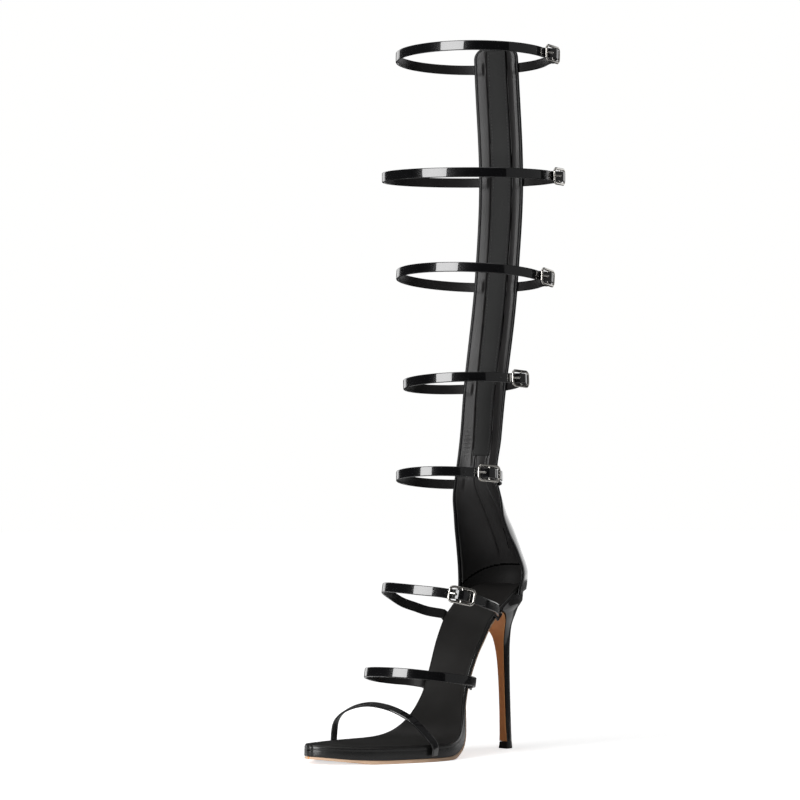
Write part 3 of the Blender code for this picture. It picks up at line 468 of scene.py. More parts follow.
# Top face of the footbed from heel to toe, its two edges and the thickness of everything under the foot.
BED = [BedRow(*row) for row in (
    (12.6, 125.0, -29.0, 21.0, 5.4),
    (-3.4, 123.9, -29.0, 21.0, 5.4),
    (-13.4, 120.4, -29.0, 21.0, 5.4),
    (-23.4, 114.2, -29.0, 21.0, 5.4),
    (-33.4, 106.4, -28.4, 20.6, 5.4),
    (-41.9, 98.0, -27.4, 20.0, 5.4),
    (-49.9, 85.5, -26.2, 19.4, 5.4),
    (-55.4, 76.5, -24.6, 18.8, 5.4),
    (-60.4, 66.0, -23.4, 18.4, 5.2),
    (-65.0, 55.5, -22.9, 18.4, 5.0),
    (-69.0, 45.5, -23.2, 19.4, 5.0),
    (-73.6, 36.0, -25.2, 22.4, 5.6),
    (-79.0, 27.0, -28.6, 26.8, 7.4),
    (-85.0, 20.6, -32.2, 31.2, 10.2),
    (-92.0, 16.2, -35.8, 35.4, 12.4),
    (-101.0, 13.7, -38.8, 39.0, 13.2),
    (-112.0, 12.7, -41.2, 40.6, 12.7),
    (-126.0, 12.5, -42.6, 39.0, 12.5),
    (-144.0, 12.5, -42.2, 34.0, 12.5),
    (-163.4, 12.7, -38.0, 25.8, 12.6),
    (-178.4, 13.2, -31.6, 15.8, 11.8),
    (-189.4, 13.7, -24.6, 5.6, 10.8),
    (-195.9, 14.0, -18.0, -2.8, 10.3),
    (-198.4, 14.1, -13.6, -7.6, 10.2),
)]
TOE_Y = -198.4
SEAT_MID_Y = -22.4
SEAT_LONG = 35.6
PLATFORM_BACK = -73.6
SOLE_BACK = -34.4
FLAT_SPOT = (-166.0, -103.0)
FLAT_FADE = 10.0
SOLE_THIN = 1.4
SOLE_THICK = 2.6
SOLE_TOE = 1.7
SOLE_TOE_FROM = -160.0
LAYER_GAP = 0.3

BreastRow = namedtuple("BreastRow", "y z half mid_x thick")
# Inner face of the sole leather where it leaves the arch and runs down the front of the heel.
BREAST = [BreastRow(*row) for row in (
    (-26.0, 105.0, 22.0, -4.0, 1.4),
    (-20.2, 103.2, 20.0, -3.9, 1.4),
    (-14.4, 98.4, 15.8, -3.6, 1.3),
    (-9.8, 93.0, 10.6, -3.1, 1.2),
    (-7.0, 87.5, 6.8, -2.5, 1.2),
    (-5.7, 79.5, 4.6, -2.0, 1.2),
    (-4.8, 65.0, 3.2, -1.2, 1.2),
    (-4.0, 42.0, 2.8, -0.6, 1.2),
    (-3.5, 18.0, 3.0, -0.2, 1.2),
    (-3.1, 5.7, 3.6, 0.0, 1.2),
)]

HeelRow = namedtuple("HeelRow", "front_y front_z back_y back_z half mid_x")
# Stiletto heel from its tip to the seat; each row is a flat-fronted oval.
HEEL = [HeelRow(*row) for row in (
    (-2.8, 5.6, 5.0, 5.6, 3.7, 0.0),
    (-3.2, 18.0, 4.9, 18.0, 3.1, -0.2),
    (-3.7, 42.0, 4.3, 42.0, 2.9, -0.6),
    (-4.5, 65.0, 4.4, 64.0, 3.3, -1.2),
    (-5.35, 79.7, 5.0, 79.0, 4.7, -2.0),
    (-6.65, 87.8, 5.9, 87.5, 7.0, -2.5),
    (-9.5, 93.4, 7.2, 95.0, 11.0, -3.1),
    (-14.2, 98.9, 9.8, 102.0, 16.4, -3.6),
    (-20.0, 103.7, 13.0, 109.0, 21.0, -3.9),
    (-25.8, 105.5, 15.4, 114.0, 23.4, -4.0),
)]
HEEL_TOP_HALF = 24.6
HEEL_TOP_BACK = 16.2
HEEL_PINCH = 0.2
TIP_TALL = 5.3
print("sections:", len(LEG), "of the leg,", len(BED), "of the footbed,", len(HEEL), "of the heel")

# %% Routes of the straps over the foot
# Inner faces of the straps, from the inner side of the foot to the outer side.
INSTEP_ROUTE = (
    (-35.0, -49.4, 104.5), (-37.0, -61.4, 108.0), (-37.6, -74.4, 111.8), (-35.6, -88.4, 117.5),
    (-28.0, -104.4, 122.5), (-13.0, -115.9, 124.3), (4.0, -119.9, 124.0), (20.0, -118.2, 123.0),
    (37.0, -109.4, 121.2), (48.0, -94.9, 117.4), (50.6, -78.4, 112.8), (44.2, -61.4, 109.4),
    (33.6, -47.4, 106.2),
)
INSTEP_ENDS = (-38.4, -35.4)
INSTEP_BUCKLE = 0.648
INSTEP_TIP = 10.0
MIDFOOT_ROUTE = (
    (-33.0, -73.4, 53.2), (-39.5, -83.4, 54.4), (-41.5, -98.4, 56.6), (-35.0, -115.4, 59.8),
    (-19.0, -129.4, 62.4), (0.0, -133.6, 63.4), (19.0, -128.4, 63.0), (33.0, -115.4, 61.0),
    (41.0, -98.4, 58.4), (40.6, -83.4, 56.4), (34.5, -74.2, 54.6),
)
MIDFOOT_ENDS = (-66.6, -66.0)
TOE_ROUTE = (
    (-44.0, -141.0, 14.0), (-42.2, -140.2, 24.0), (-37.6, -139.2, 30.6), (-29.0, -138.4, 35.2),
    (-18.0, -138.0, 38.2), (-6.0, -138.0, 39.2), (8.0, -137.0, 37.6), (19.0, -134.8, 34.0),
    (27.8, -131.6, 28.6), (35.0, -127.4, 20.6), (40.6, -123.8, 12.6),
)
TOE_END_Z = 4.6
print("routes: instep, midfoot and toe")

# %% [markdown]
# ## Reading the tables
# A table lists a few sections. These helpers read smooth values between them, so a surface can
# have as many rows as its finish needs.
# %% Read smooth values
def hermite(start, end, slope_in, slope_out, amount):
    square = amount * amount
    cube = square * amount
    return ((2 * cube - 3 * square + 1) * start + (cube - 2 * square + amount) * slope_in
            + (3 * square - 2 * cube) * end + (cube - square) * slope_out)


def read(rows, key, column, value):
    """One column of a table at a value of its key column."""
    keys = [getattr(row, key) for row in rows]
    rising = keys[0] < keys[-1]
    last = len(rows) - 2
    place = 0
    while place < last and (keys[place + 1] < value) == rising:
        place += 1
    wide = keys[place + 1] - keys[place]
    amount = min(max((value - keys[place]) / wide, 0.0), 1.0)
    data = [getattr(row, column) for row in rows]

    def slope(i):
        low = max(i - 1, 0)
        high = min(i + 1, len(rows) - 1)
        return (data[high] - data[low]) / (keys[high] - keys[low])

    return hermite(data[place], data[place + 1], slope(place) * wide, slope(place + 1) * wide, amount)


def smooth_rows(rows, per_span):
    """The rows of a table with smooth rows between them."""
    out = []
    last = len(rows) - 1
    for i in range(last):
        before, start, end, after = (rows[min(max(i + k, 0), last)] for k in (-1, 0, 1, 2))
        for k in range(per_span):
            out.append(type(start)(*(hermite(b, c, (c - a) / 2.0, (d - b) / 2.0, k / per_span)
                                     for a, b, c, d in zip(before, start, end, after))))
    out.append(rows[-1])
    return out


def smooth_route(points, per_span):
    """Points of one smooth curve through a given route."""
    route = [Vector(point) for point in points]
    ends = [route[0] * 2 - route[1]] + route + [route[-1] * 2 - route[-2]]
    out = []
    for i in range(1, len(ends) - 2):
        for k in range(per_span):
            slope_in = (ends[i + 1] - ends[i - 1]) / 2.0
            slope_out = (ends[i + 2] - ends[i]) / 2.0
            out.append(hermite(ends[i], ends[i + 1], slope_in, slope_out, k / per_span))
    out.append(route[-1])
    return out


def spread(start, stop, count):
    return [start + (stop - start) * i / count for i in range(count + 1)]


def ease(amount):
    amount = min(max(amount, 0.0), 1.0)
    return amount * amount * (3 - 2 * amount)


def bell(distance, reach):
    """Soft hump, 1 at its middle and nothing past about three reaches."""
    return math.exp(-0.5 * (distance / reach) ** 2)


print("the leg's oval is", round(2 * read(LEG, "z", "half_x", 431.0)), "mm wide at the calf")

# %% The leg's oval and the footbed's faces
def leg_value(column, z):
    return read(LEG, "z", column, z)


def leg_point(degrees, z, offset):
    """Point of the leg's oval; 0 degrees is the back and positive turns to the outer side."""
    angle = math.radians(degrees)
    side = math.sin(angle)
    back = math.cos(angle)
    skew = leg_value("skew", z)
    x = leg_value("mid_x", z) + (leg_value("half_x", z) + offset) * side + skew * back
    y = leg_value("mid_y", z) + (leg_value("half_y", z) + offset) * back + skew * side
    return Vector((x, y, z))


def leg_radius(z):
    return (leg_value("half_x", z) + leg_value("half_y", z)) / 2.0 + WALL


def strip_turn(z):
    return leg_value("turn", z)


def strip_span(z):
    """Half width of the back strip in degrees, with its top corners rounded off."""
    span = leg_value("span", z)
    above = z - (STRIP_TOP - STRIP_CORNER)
    if above > 0:
        cut = STRIP_CORNER - math.sqrt(max(STRIP_CORNER ** 2 - above ** 2, 0.0))
        span -= math.degrees(cut / leg_radius(z))
    return span


def bed_value(column, y):
    return read(BED, "y", column, y)


def bed_down(y):
    """Unit direction from the footbed's top face into the sole, as (y, z)."""
    slope = (bed_value("z", y + 1.0) - bed_value("z", y - 1.0)) / 2.0
    size = math.hypot(slope, 1.0)
    return slope / size, -1.0 / size


def bed_point(y, depth):
    """Place of the sole's layer at a depth under the footbed's top face, as (y, z)."""
    down = bed_down(y)
    return y + down[0] * depth, bed_value("z", y) + down[1] * depth


def bed_edges(y, inset=0.0):
    """Inner and outer edge of the footbed, rounded off at the heel."""
    inner = bed_value("inner", y)
    outer = bed_value("outer", y)
    middle = (inner + outer) / 2.0
    half = (outer - inner) / 2.0
    if y > SEAT_MID_Y:
        part = min((y - SEAT_MID_Y) / SEAT_LONG, 1.0)
        half *= math.sqrt(max(1.0 - part * part, 0.0))
    half = max(half - inset, 0.6)
    return middle - half, middle + half


def sole_thin(y):
    """Thickness of the sole leather, thick under the forefoot and thin in the arch and at the toe."""
    thick = SOLE_THIN + (SOLE_THICK - SOLE_THIN) * ease((PLATFORM_BACK - y) / 26.0)
    return thick + (SOLE_TOE - SOLE_THICK) * ease((SOLE_TOE_FROM - y) / 30.0)


def platform_thick(y):
    """Thickness of the platform between the footbed and the sole leather."""
    return max(bed_value("thick", y) - sole_thin(y) - BED_THICK - 2 * LAYER_GAP, 0.4)


print("ball of the foot is", round(bed_edges(-126.0)[1] - bed_edges(-126.0)[0], 1), "mm wide")

# %% [markdown]
# ## Making meshes
# Most pieces are skins over rings of points: a cross-section is carried along a path, and the rings are
# joined by quads. One helper makes them all, so each piece only has to say where its rings lie.
# %% Turn rings into a piece
def finish_mesh(bm, name, materials, body=SANDAL, sharp=40.0):
    """Millimetre mesh to an object in metres that rides on a body."""
    bmesh.ops.scale(bm, vec=(MM, MM, MM), verts=bm.verts)
    bmesh.ops.recalc_face_normals(bm, faces=bm.faces)
    mesh = bpy.data.meshes.new(name)
    bm.to_mesh(mesh)
    bm.free()
    for material in materials:
        mesh.materials.append(material)
    mesh.shade_smooth()
    mesh.set_sharp_from_angle(angle=math.radians(sharp))
    made = bpy.data.objects.new(name, mesh)
    scene.collection.objects.link(made)
    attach(made, body)
    return made


def add_skin(bm, rings, slot_of=None, looped=False):
    """Quads between rings of equally many points; the ends are capped, or joined where looped."""
    rows = [[bm.verts.new(point) for point in ring] for ring in rings]
    count = len(rows[0])
    for i, low in enumerate(rows if looped else rows[:-1]):
        high = rows[(i + 1) % len(rows)]
        for j in range(count):
            k = (j + 1) % count
            face = bm.faces.new((low[j], low[k], high[k], high[j]))
            face.material_index = slot_of(i, j) if slot_of else 0
    if not looped:
        for row in (rows[0], rows[-1]):
            bm.faces.new(row).material_index = slot_of(0, 0) if slot_of else 0


def make_skin(name, rings, materials, sharp, slot_of=None):
    """One skin as a piece of the sandal."""
    bm = bmesh.new()
    add_skin(bm, rings, slot_of)
    return finish_mesh(bm, name, materials, sharp=sharp)


def arc(mid_a, mid_b, radius, start, stop, steps):
    """Points of an arc in a section, by degrees."""
    out = []
    for k in range(steps + 1):
        angle = math.radians(start + (stop - start) * k / steps)
        out.append((mid_a + radius * math.cos(angle), mid_b + radius * math.sin(angle)))
    return out


def path_lengths(points):
    """Distance of each point from the first, along their path."""
    out = [0.0]
    for before, after in zip(points, points[1:]):
        out.append(out[-1] + (after - before).length)
    return out


print("one millimetre is", MM, "m in the scene")

# %% [markdown]
# ## Straps
# A patent strap is a strip of leather turned over at its edges, with a lining on the inside. The turned
# edge is round, the lining stops short of it, and the outer face is very slightly crowned. That section
# is swept along frames: a point, the running direction, the width direction and the outward direction.
# %% The strap's section and sweep
Frame = namedtuple("Frame", "point along across outward")
LINING_INSET = 0.62
LOW_ROUND = 0.34
HIGH_ROUND = 0.62
CROWN = 0.05
END_RADIUS = 0.5
END_SHARES = (0.0, 0.12, 0.35, 0.7)
TIP_BLUNT = 0.42
TIP_ROUND = 0.58


def strap_section():
    """Closed section as (across, outward, is_lining)."""
    half = STRAP_WIDTH / 2.0
    lined = half - LINING_INSET
    side = arc(half - LOW_ROUND, 0.36, LOW_ROUND, -90.0, 0.0, 3)
    side += arc(half - HIGH_ROUND, STRAP_THICK - 0.64, HIGH_ROUND, 0.0, 84.0, 6)
    crown = [(half * share, STRAP_THICK - CROWN * share * share) for share in (0.7, 0.45, 0.2)]
    edge = [(lined + 0.06, 0.17), (lined + 0.16, 0.06)] + side + crown
    points = [(lined * share, 0.0, True) for share in (-1.0, -0.6, -0.2, 0.2, 0.6)]
    points.append((lined, 0.0, False))
    points += [(a, b, False) for a, b in edge]
    points += [(-a, b, False) for a, b in reversed(edge)]
    return points


def band_frames(points, ups, middle):
    """Frames along a strap, with the outward direction turned away from a middle point."""
    frames = []
    for i, point in enumerate(points):
        ahead_point = points[min(i + 1, len(points) - 1)]
        behind = points[max(i - 1, 0)]
        along = (ahead_point - behind).normalized()
        outward = along.cross(ups[i]).normalized()
        across = outward.cross(along).normalized()
        if outward.dot(point - middle(point)) < 0:
            outward = -outward
        frames.append(Frame(point, along, across, outward))
    return frames


def lengths_along(frames):
    return path_lengths([frame.point for frame in frames])


def end_frame(frame, share, sign):
    """A frame a little inside a strap's end, with the size of its ring."""
    size = math.sqrt(1.0 - (1.0 - share) ** 2)
    return frame._replace(point=frame.point + frame.along * sign * END_RADIUS * share), 0.35 + 0.65 * size


def round_ends(frames):
    """Frames with extra ones at both ends, each with the size of its ring."""
    lengths = lengths_along(frames)
    middle = [(frame, 1.0) for frame, length in zip(frames, lengths)
              if END_RADIUS <= length <= lengths[-1] - END_RADIUS]
    first = [end_frame(frames[0], share, 1.0) for share in END_SHARES]
    return first + middle + [end_frame(frames[-1], share, -1.0) for share in reversed(END_SHARES)]


def strap_rings(frames, section, taper):
    """Rings of a strap; taper is the length over which its last end narrows to a blunt point."""
    sized = round_ends(frames)
    total = lengths_along([frame for frame, _ in sized])
    rings = []
    for (frame, size), length in zip(sized, total):
        left = total[-1] - length
        narrow = 1.0
        if left < taper:
            narrow = TIP_BLUNT + TIP_ROUND * math.sqrt(max(1.0 - (1.0 - left / taper) ** 2, 0.0))
        slim = 1.0 - (1.0 - size) * 0.25
        ring = []
        for a, b, _ in section:
            lift = STRAP_THICK / 2.0 + (b - STRAP_THICK / 2.0) * size
            ring.append(frame.point + frame.across * (a * narrow * slim) + frame.outward * lift)
        rings.append(ring)
    return rings


def make_strap(name, frames, taper=0.0):
    section = strap_section()
    rings = strap_rings(frames, section, taper)
    made = make_skin(name + "_band", rings, (PATENT, LINING), 70.0, lambda i, j: int(section[j][2]))
    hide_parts(name)


print("strap section has", len(strap_section()), "points")

# %% [markdown]
# ## How a strap passes its buckle
# The long strap goes under the buckle's front bar, over the middle bar and under the back bar, and its
# free tip lies on the short strap. The lift of the strap along the buckle makes that small wave.
# %% Weave the leg straps
BUCKLE_LONG = 20.0
HALF_LONG = BUCKLE_LONG / 2.0
BUCKLE_TALL = 13.0
BUCKLE_THICK = 1.6
BUCKLE_LIFT = 3.05
BUCKLE_TILT = 0.09
# How far a leg strap stands off the leg along its buckle, and how long it takes to come back to it.
BULGE = 3.4
BULGE_RUN = 16.0
MIDDLE_BAR = 2.0
# Lifts of the long strap over the middle bar and past the buckle, and of the short strap at the bar.
WEAVE_TOP = 5.6
WEAVE_END = 2.0
HELD_TOP = 2.2
STRAP_TO_ZIP = 3.6
# Degrees over which a strap's width turns from the back strip's slope to its own.
STRIP_BLEND = 18.0
REACH = HALF_LONG + 3.0
# Length over which a strap rises or falls beside a bar.
BAR_RUN = HALF_LONG - 1.5
# Steps of the long strap up to its buckle, along it and to its tip, and of the short one.
LONG_STEPS = (130, 52, 14)
SHORT_STEPS = (44, 22)
TIP_TAPER = 6.5


def woven_lift(s):
    """Lift of the long strap at s along the buckle, which makes the wave over its middle bar."""
    front = ease((s + HALF_LONG) / BAR_RUN)
    back = ease((s - 0.3) / BAR_RUN)
    return WEAVE_TOP * front + (WEAVE_END - WEAVE_TOP) * back


def buckle_bulge(s):
    """How far a leg strap stands off the leg's curve along its buckle, which is stiff and lies flat."""
    out = BULGE * min(max((s + HALF_LONG) / BUCKLE_LONG, 0.0), 1.0)
    return out * (1.0 - ease((s - HALF_LONG) / BULGE_RUN))


def held_lift(s):
    """Lift of the short strap as it comes up to the buckle's middle bar."""
    return HELD_TOP * ease((HALF_LONG - 0.5 - s) / BAR_RUN)


def loop_point(loop, degrees, offset):
    """Point of a leg strap, tilted by its slopes towards the front and the outer side."""
    start = leg_point(strip_turn(loop.z), loop.z, WALL)
    flat = leg_point(degrees, loop.z, offset)
    rise = loop.front_rise * (start.y - flat.y) + loop.outer_rise * (flat.x - start.x)
    return leg_point(degrees, loop.z + rise, offset)


def loop_frames(loop, angles, offsets):
    """Frames of a leg strap; over the back strip its width lies along the strip's own slope."""
    points = [loop_point(loop, angle, offset) for angle, offset in zip(angles, offsets)]
    flat = Vector((-loop.outer_rise, loop.front_rise, 1.0)).normalized()
    ups = []
    for point, angle, offset in zip(points, angles, offsets):
        rise = STRAP_WIDTH / 2.0
        wall = leg_point(angle, point.z + rise, offset) - leg_point(angle, point.z - rise, offset)
        turned = abs((angle - strip_turn(loop.z) + 180.0) % 360.0 - 180.0)
        amount = ease(1.0 - (turned - strip_span(loop.z)) / STRIP_BLEND)
        ups.append(flat.lerp(wall.normalized(), amount))
    middle = Vector((leg_value("mid_x", loop.z), leg_value("mid_y", loop.z), 0.0))
    return band_frames(points, ups, lambda point: middle + Vector((0.0, 0.0, point.z)))


def degrees_per_mm(loop):
    """Turn round the oval that makes one millimetre of strap at the buckle."""
    span = 6.0
    lift = WALL + loop.gap + WEAVE_END
    before = loop_point(loop, loop.buckle_deg - span, lift)
    after = loop_point(loop, loop.buckle_deg + span, lift)
    return 2 * span / (after - before).length


def long_strap_frames(loop):
    """From beside the zip round the front and through the buckle to the free tip."""
    degree = degrees_per_mm(loop)
    base = WALL + loop.gap
    start = strip_turn(loop.z) - math.degrees(STRAP_TO_ZIP / leg_radius(loop.z))
    centre = loop.buckle_deg - 360.0
    before, beyond = centre + REACH * degree, centre - REACH * degree
    angles = spread(start, before, LONG_STEPS[0])[:-1]
    angles += spread(before, beyond, LONG_STEPS[1])[:-1]
    angles += spread(beyond, centre - (HALF_LONG + loop.tip) * degree, LONG_STEPS[2])
    places = [(centre - angle) / degree for angle in angles]
    offsets = [base + woven_lift(s) + buckle_bulge(s) for s in places]
    return loop_frames(loop, angles, offsets)


def short_strap_frames(loop):
    """From the other side of the zip to the buckle's middle bar."""
    degree = degrees_per_mm(loop)
    base = WALL + loop.gap
    start = strip_turn(loop.z) + math.degrees(STRAP_TO_ZIP / leg_radius(loop.z))
    end = loop.buckle_deg - (MIDDLE_BAR / 2.0 + 0.5) * degree
    before = loop.buckle_deg - REACH * degree
    angles = spread(start, before, SHORT_STEPS[0])[:-1] + spread(before, end, SHORT_STEPS[1])
    places = [(loop.buckle_deg - angle) / degree for angle in angles]
    offsets = [base + held_lift(s) + buckle_bulge(s) for s in places]
    return loop_frames(loop, angles, offsets)


def buckle_frame(loop):
    step = 2.0
    angles = [loop.buckle_deg - step, loop.buckle_deg, loop.buckle_deg + step]
    degree = degrees_per_mm(loop)
    offsets = [WALL + loop.gap + buckle_bulge((loop.buckle_deg - angle) / degree) for angle in angles]
    return loop_frames(loop, angles, offsets)[1]


long_frames = {loop.name: long_strap_frames(loop) for loop in LOOPS}
short_frames = {loop.name: short_strap_frames(loop) for loop in LOOPS}
buckle_frames = {loop.name: buckle_frame(loop) for loop in LOOPS}
for loop in LOOPS:
    make_strap("strap_" + loop.name, long_frames[loop.name], TIP_TAPER)
    make_strap("buckle_strap_" + loop.name, short_frames[loop.name])
    print(loop.name, "strap is", round(lengths_along(long_frames[loop.name])[-1]), "mm long")

# %% [markdown]
# ## Straps over the foot
# These run from one side of the footbed, over the foot, to the other side. The buckled one weaves
# through its buckle like the leg straps, and the toe strap ends on the sides of the platform.
# %% Make the foot straps
def edge_end(y, side, loose=0.0):
    """Three points down the footbed's side, each at a depth and a clearance from the edge."""
    points = []
    for depth, clear in ((-0.6, 1.3 + loose), (1.6, 0.8 + loose), (BED_THICK + SOLE_THIN, 0.7)):
        place_y, place_z = bed_point(y, depth)
        edge = max(side * bed_edges(place)[1 if side > 0 else 0] for place in (y - 2.0, y, y + 2.0))
        points.append((side * (edge + clear), place_y, place_z))
    return points


def foot_strap_frames(route, ends, per_span, up, loose=0.0):
    """Frames of a strap from the footbed's inner side over the foot to its outer side."""
    points = smooth_route(edge_end(ends[0], -1)[::-1] + list(route) + edge_end(ends[1], 1, loose), per_span)
    centre = sum(points, Vector()) / len(points)
    return band_frames(points, [up] * len(points), lambda point: centre)


FOOT_STEP = 0.9
FINE_STEP = 0.3


def resample(frames, step):
    """Evenly spaced frames, each with its distance along the strap."""
    lengths = lengths_along(frames)
    out = []
    i = 0
    for length in spread(0.0, lengths[-1], round(lengths[-1] / step)):
        while i < len(lengths) - 2 and lengths[i + 1] < length:
            i += 1
        amount = (length - lengths[i]) / (lengths[i + 1] - lengths[i])
        mixed = [a.lerp(b, amount) for a, b in zip(frames[i], frames[i + 1])]
        out.append((length, Frame(mixed[0], *(part.normalized() for part in mixed[1:]))))
    return out


def lift_frames(measured, lift):
    """Frames moved outwards by a lift that depends on the distance along the strap."""
    return [frame._replace(point=frame.point + frame.outward * lift(length)) for length, frame in measured]


def make_instep_strap():
    up = Vector((-0.02, 0.2, 0.98))
    coarse = foot_strap_frames(INSTEP_ROUTE, INSTEP_ENDS, 6, up)
    place = round(INSTEP_BUCKLE * (len(coarse) - 1))
    middle = lengths_along(coarse)[place]
    fine = foot_strap_frames(INSTEP_ROUTE, INSTEP_ENDS, 12, up)
    measured = resample(fine, FOOT_STEP)
    middle *= measured[-1][0] / lengths_along(coarse)[-1]
    long_part = [item for item in measured if item[0] - middle <= HALF_LONG + INSTEP_TIP]
    short_part = [item for item in measured if item[0] - middle >= MIDDLE_BAR / 2.0 + 0.5]
    long_frames["instep"] = lift_frames(long_part, lambda length: woven_lift(length - middle))
    short_frames["instep"] = lift_frames(short_part, lambda length: held_lift(length - middle))[::-1]
    buckle_frames["instep"] = coarse[place]
    make_strap("strap_instep", long_frames["instep"], TIP_TAPER)
    make_strap("buckle_strap_instep", short_frames["instep"])


def make_toe_strap():
    """Strap over the toes; both ends lie on the sides of the platform."""
    first = TOE_ROUTE[0]
    last = TOE_ROUTE[-1]
    inner = bed_edges(first[1])[0] - 0.6
    outer = bed_edges(last[1] + 4.0)[1] + 0.9
    route = ((inner, first[1], TOE_END_Z), (inner - 0.1, first[1], 12.0)) + TOE_ROUTE[1:-1]
    route += ((outer + 0.1, last[1], 12.0), (outer, last[1], TOE_END_Z))
    points = smooth_route(route, 12)
    middle = Vector((0.0, -134.0, 10.0))
    frames = band_frames(points, [Vector((0.2, -0.94, -0.28))] * len(points), lambda point: middle)
    make_strap("strap_toe", frames)
    return frames


make_instep_strap()
midfoot_frames = foot_strap_frames(MIDFOOT_ROUTE, MIDFOOT_ENDS, 12, Vector((-0.03, 0.2, 0.98)), 1.4)
make_strap("strap_midfoot", midfoot_frames)
toe_frames = make_toe_strap()
foot_frames = (long_frames["instep"], midfoot_frames, toe_frames)
print("foot straps are", [round(lengths_along(frames)[-1]) for frames in foot_frames], "mm long")

# %% [markdown]
# ## Punched holes
# The long straps have punched holes in front of the buckle. Each is a small round pit with a pressed
# rim, set in the strap's outer face.
# %% Punch the strap holes
HOLE_PLACES = (13.5, 22.5)
HOLE_RADIUS = 0.85
HOLE_SIDES = 20
# The rings of a hole, as (share of its radius, height over the strap); the last ones are dark.
HOLE_RINGS = ((1.5, -0.06), (1.2, 0.03), (1.0, 0.05), (0.94, -0.02), (0.9, -0.3))
HOLE_DARK_FROM = 3


def add_hole(bm, frame):
    """Pressed rim and dark pit on the outer face of a strap."""
    rings = []
    for scale, height in HOLE_RINGS:
        ring = []
        for k in range(HOLE_SIDES):
            angle = 2 * math.pi * k / HOLE_SIDES
            across = frame.across * (math.cos(angle) * HOLE_RADIUS * scale)
            along = frame.along * (math.sin(angle) * HOLE_RADIUS * scale)
            ring.append(frame.point + across + along + frame.outward * (STRAP_THICK + height))
        rings.append(ring)
    add_skin(bm, rings, lambda i, j: int(i >= HOLE_DARK_FROM))


def make_holes(name, frames, buckle_place):
    """Holes at their distances before the buckle, whose own place is given along the strap."""
    bm = bmesh.new()
    measured = resample(frames, FINE_STEP)
    for place in HOLE_PLACES:
        add_hole(bm, min(measured, key=lambda item: abs(item[0] - (buckle_place - place)))[1])
    finish_mesh(bm, name, (PATENT, THREAD))


for name, frames in long_frames.items():
    centre = buckle_frames[name].point
    lengths = lengths_along(frames)
    nearest = min(range(len(frames)), key=lambda i: (frames[i].point - centre).length)
    make_holes("holes_" + name, frames, lengths[nearest])
print("holes:", len(long_frames) * len(HOLE_PLACES))

# %% [markdown]
# ## Buckles
# A strap buckle is a cast frame with a middle bar, and a prong that turns on that bar. The frame is a
# round wire bent to a soft rectangle, a little barrel-shaped at its ends, so it is swept along its own
# outline. The prong comes up through the strap and rests on the front bar.
# %% Bend the buckles' wires
WIRE_SIDES = 14


def add_wire(bm, points, wides, thicks, up, closed=False):
    """Oval tube along points; up is the direction of its thickness."""
    rings = []
    count = len(points)
    for i, point in enumerate(points):
        after = points[(i + 1) % count] if closed else points[min(i + 1, count - 1)]
        before = points[i - 1] if closed or i else points[0]
        along = (after - before).normalized()
        side = along.cross(up).normalized()
        rise = side.cross(along).normalized()
        angles = [2 * math.pi * k / WIRE_SIDES for k in range(WIRE_SIDES)]
        rings.append([point + side * (wides[i] * math.cos(angle)) + rise * (thicks[i] * math.sin(angle))
                      for angle in angles])
    add_skin(bm, rings, looped=closed)


def rounded_outline(half_a, half_b, radius, bow):
    """Soft rectangle whose two ends are bowed outwards."""
    out = []
    corners = ((1, 1, 0), (-1, 1, 90), (-1, -1, 180), (1, -1, 270))
    for sign_a, sign_b, start in corners:
        turned = arc(sign_a * (half_a - radius), sign_b * (half_b - radius), radius, start, start + 90.0, 9)
        if start in (0, 180):
            middle = [(sign_a * half_a, sign_b * (half_b - radius) * share) for share in (0.0, 0.35, 0.7)]
            out += middle + turned
        else:
            middle = [(sign_a * half_a, sign_b * (half_b - radius) * share) for share in (0.7, 0.35)]
            out += turned + middle
    flat = half_b - radius * 0.3
    bowed = []
    for a, b in out:
        amount = max(1.0 - (b / flat) ** 2, 0.0) * min(abs(a) / half_a, 1.0) ** 8
        bowed.append((a + math.copysign(bow * amount, a), b))
    return bowed


BACKWARD = Vector((0.0, 1.0, 0.0))
BUCKLE_CORNER = 3.4
BUCKLE_BOW = 0.25
BUCKLE_CURVE = 0.25
RIM_WIDE = 1.05
RIM_THICK = 0.8
BAR_WIDE = 0.8
BAR_THICK = 0.75
PRONG_WIDE = 0.86
PRONG_THICK = 0.62
CURL_RADIUS = 1.25


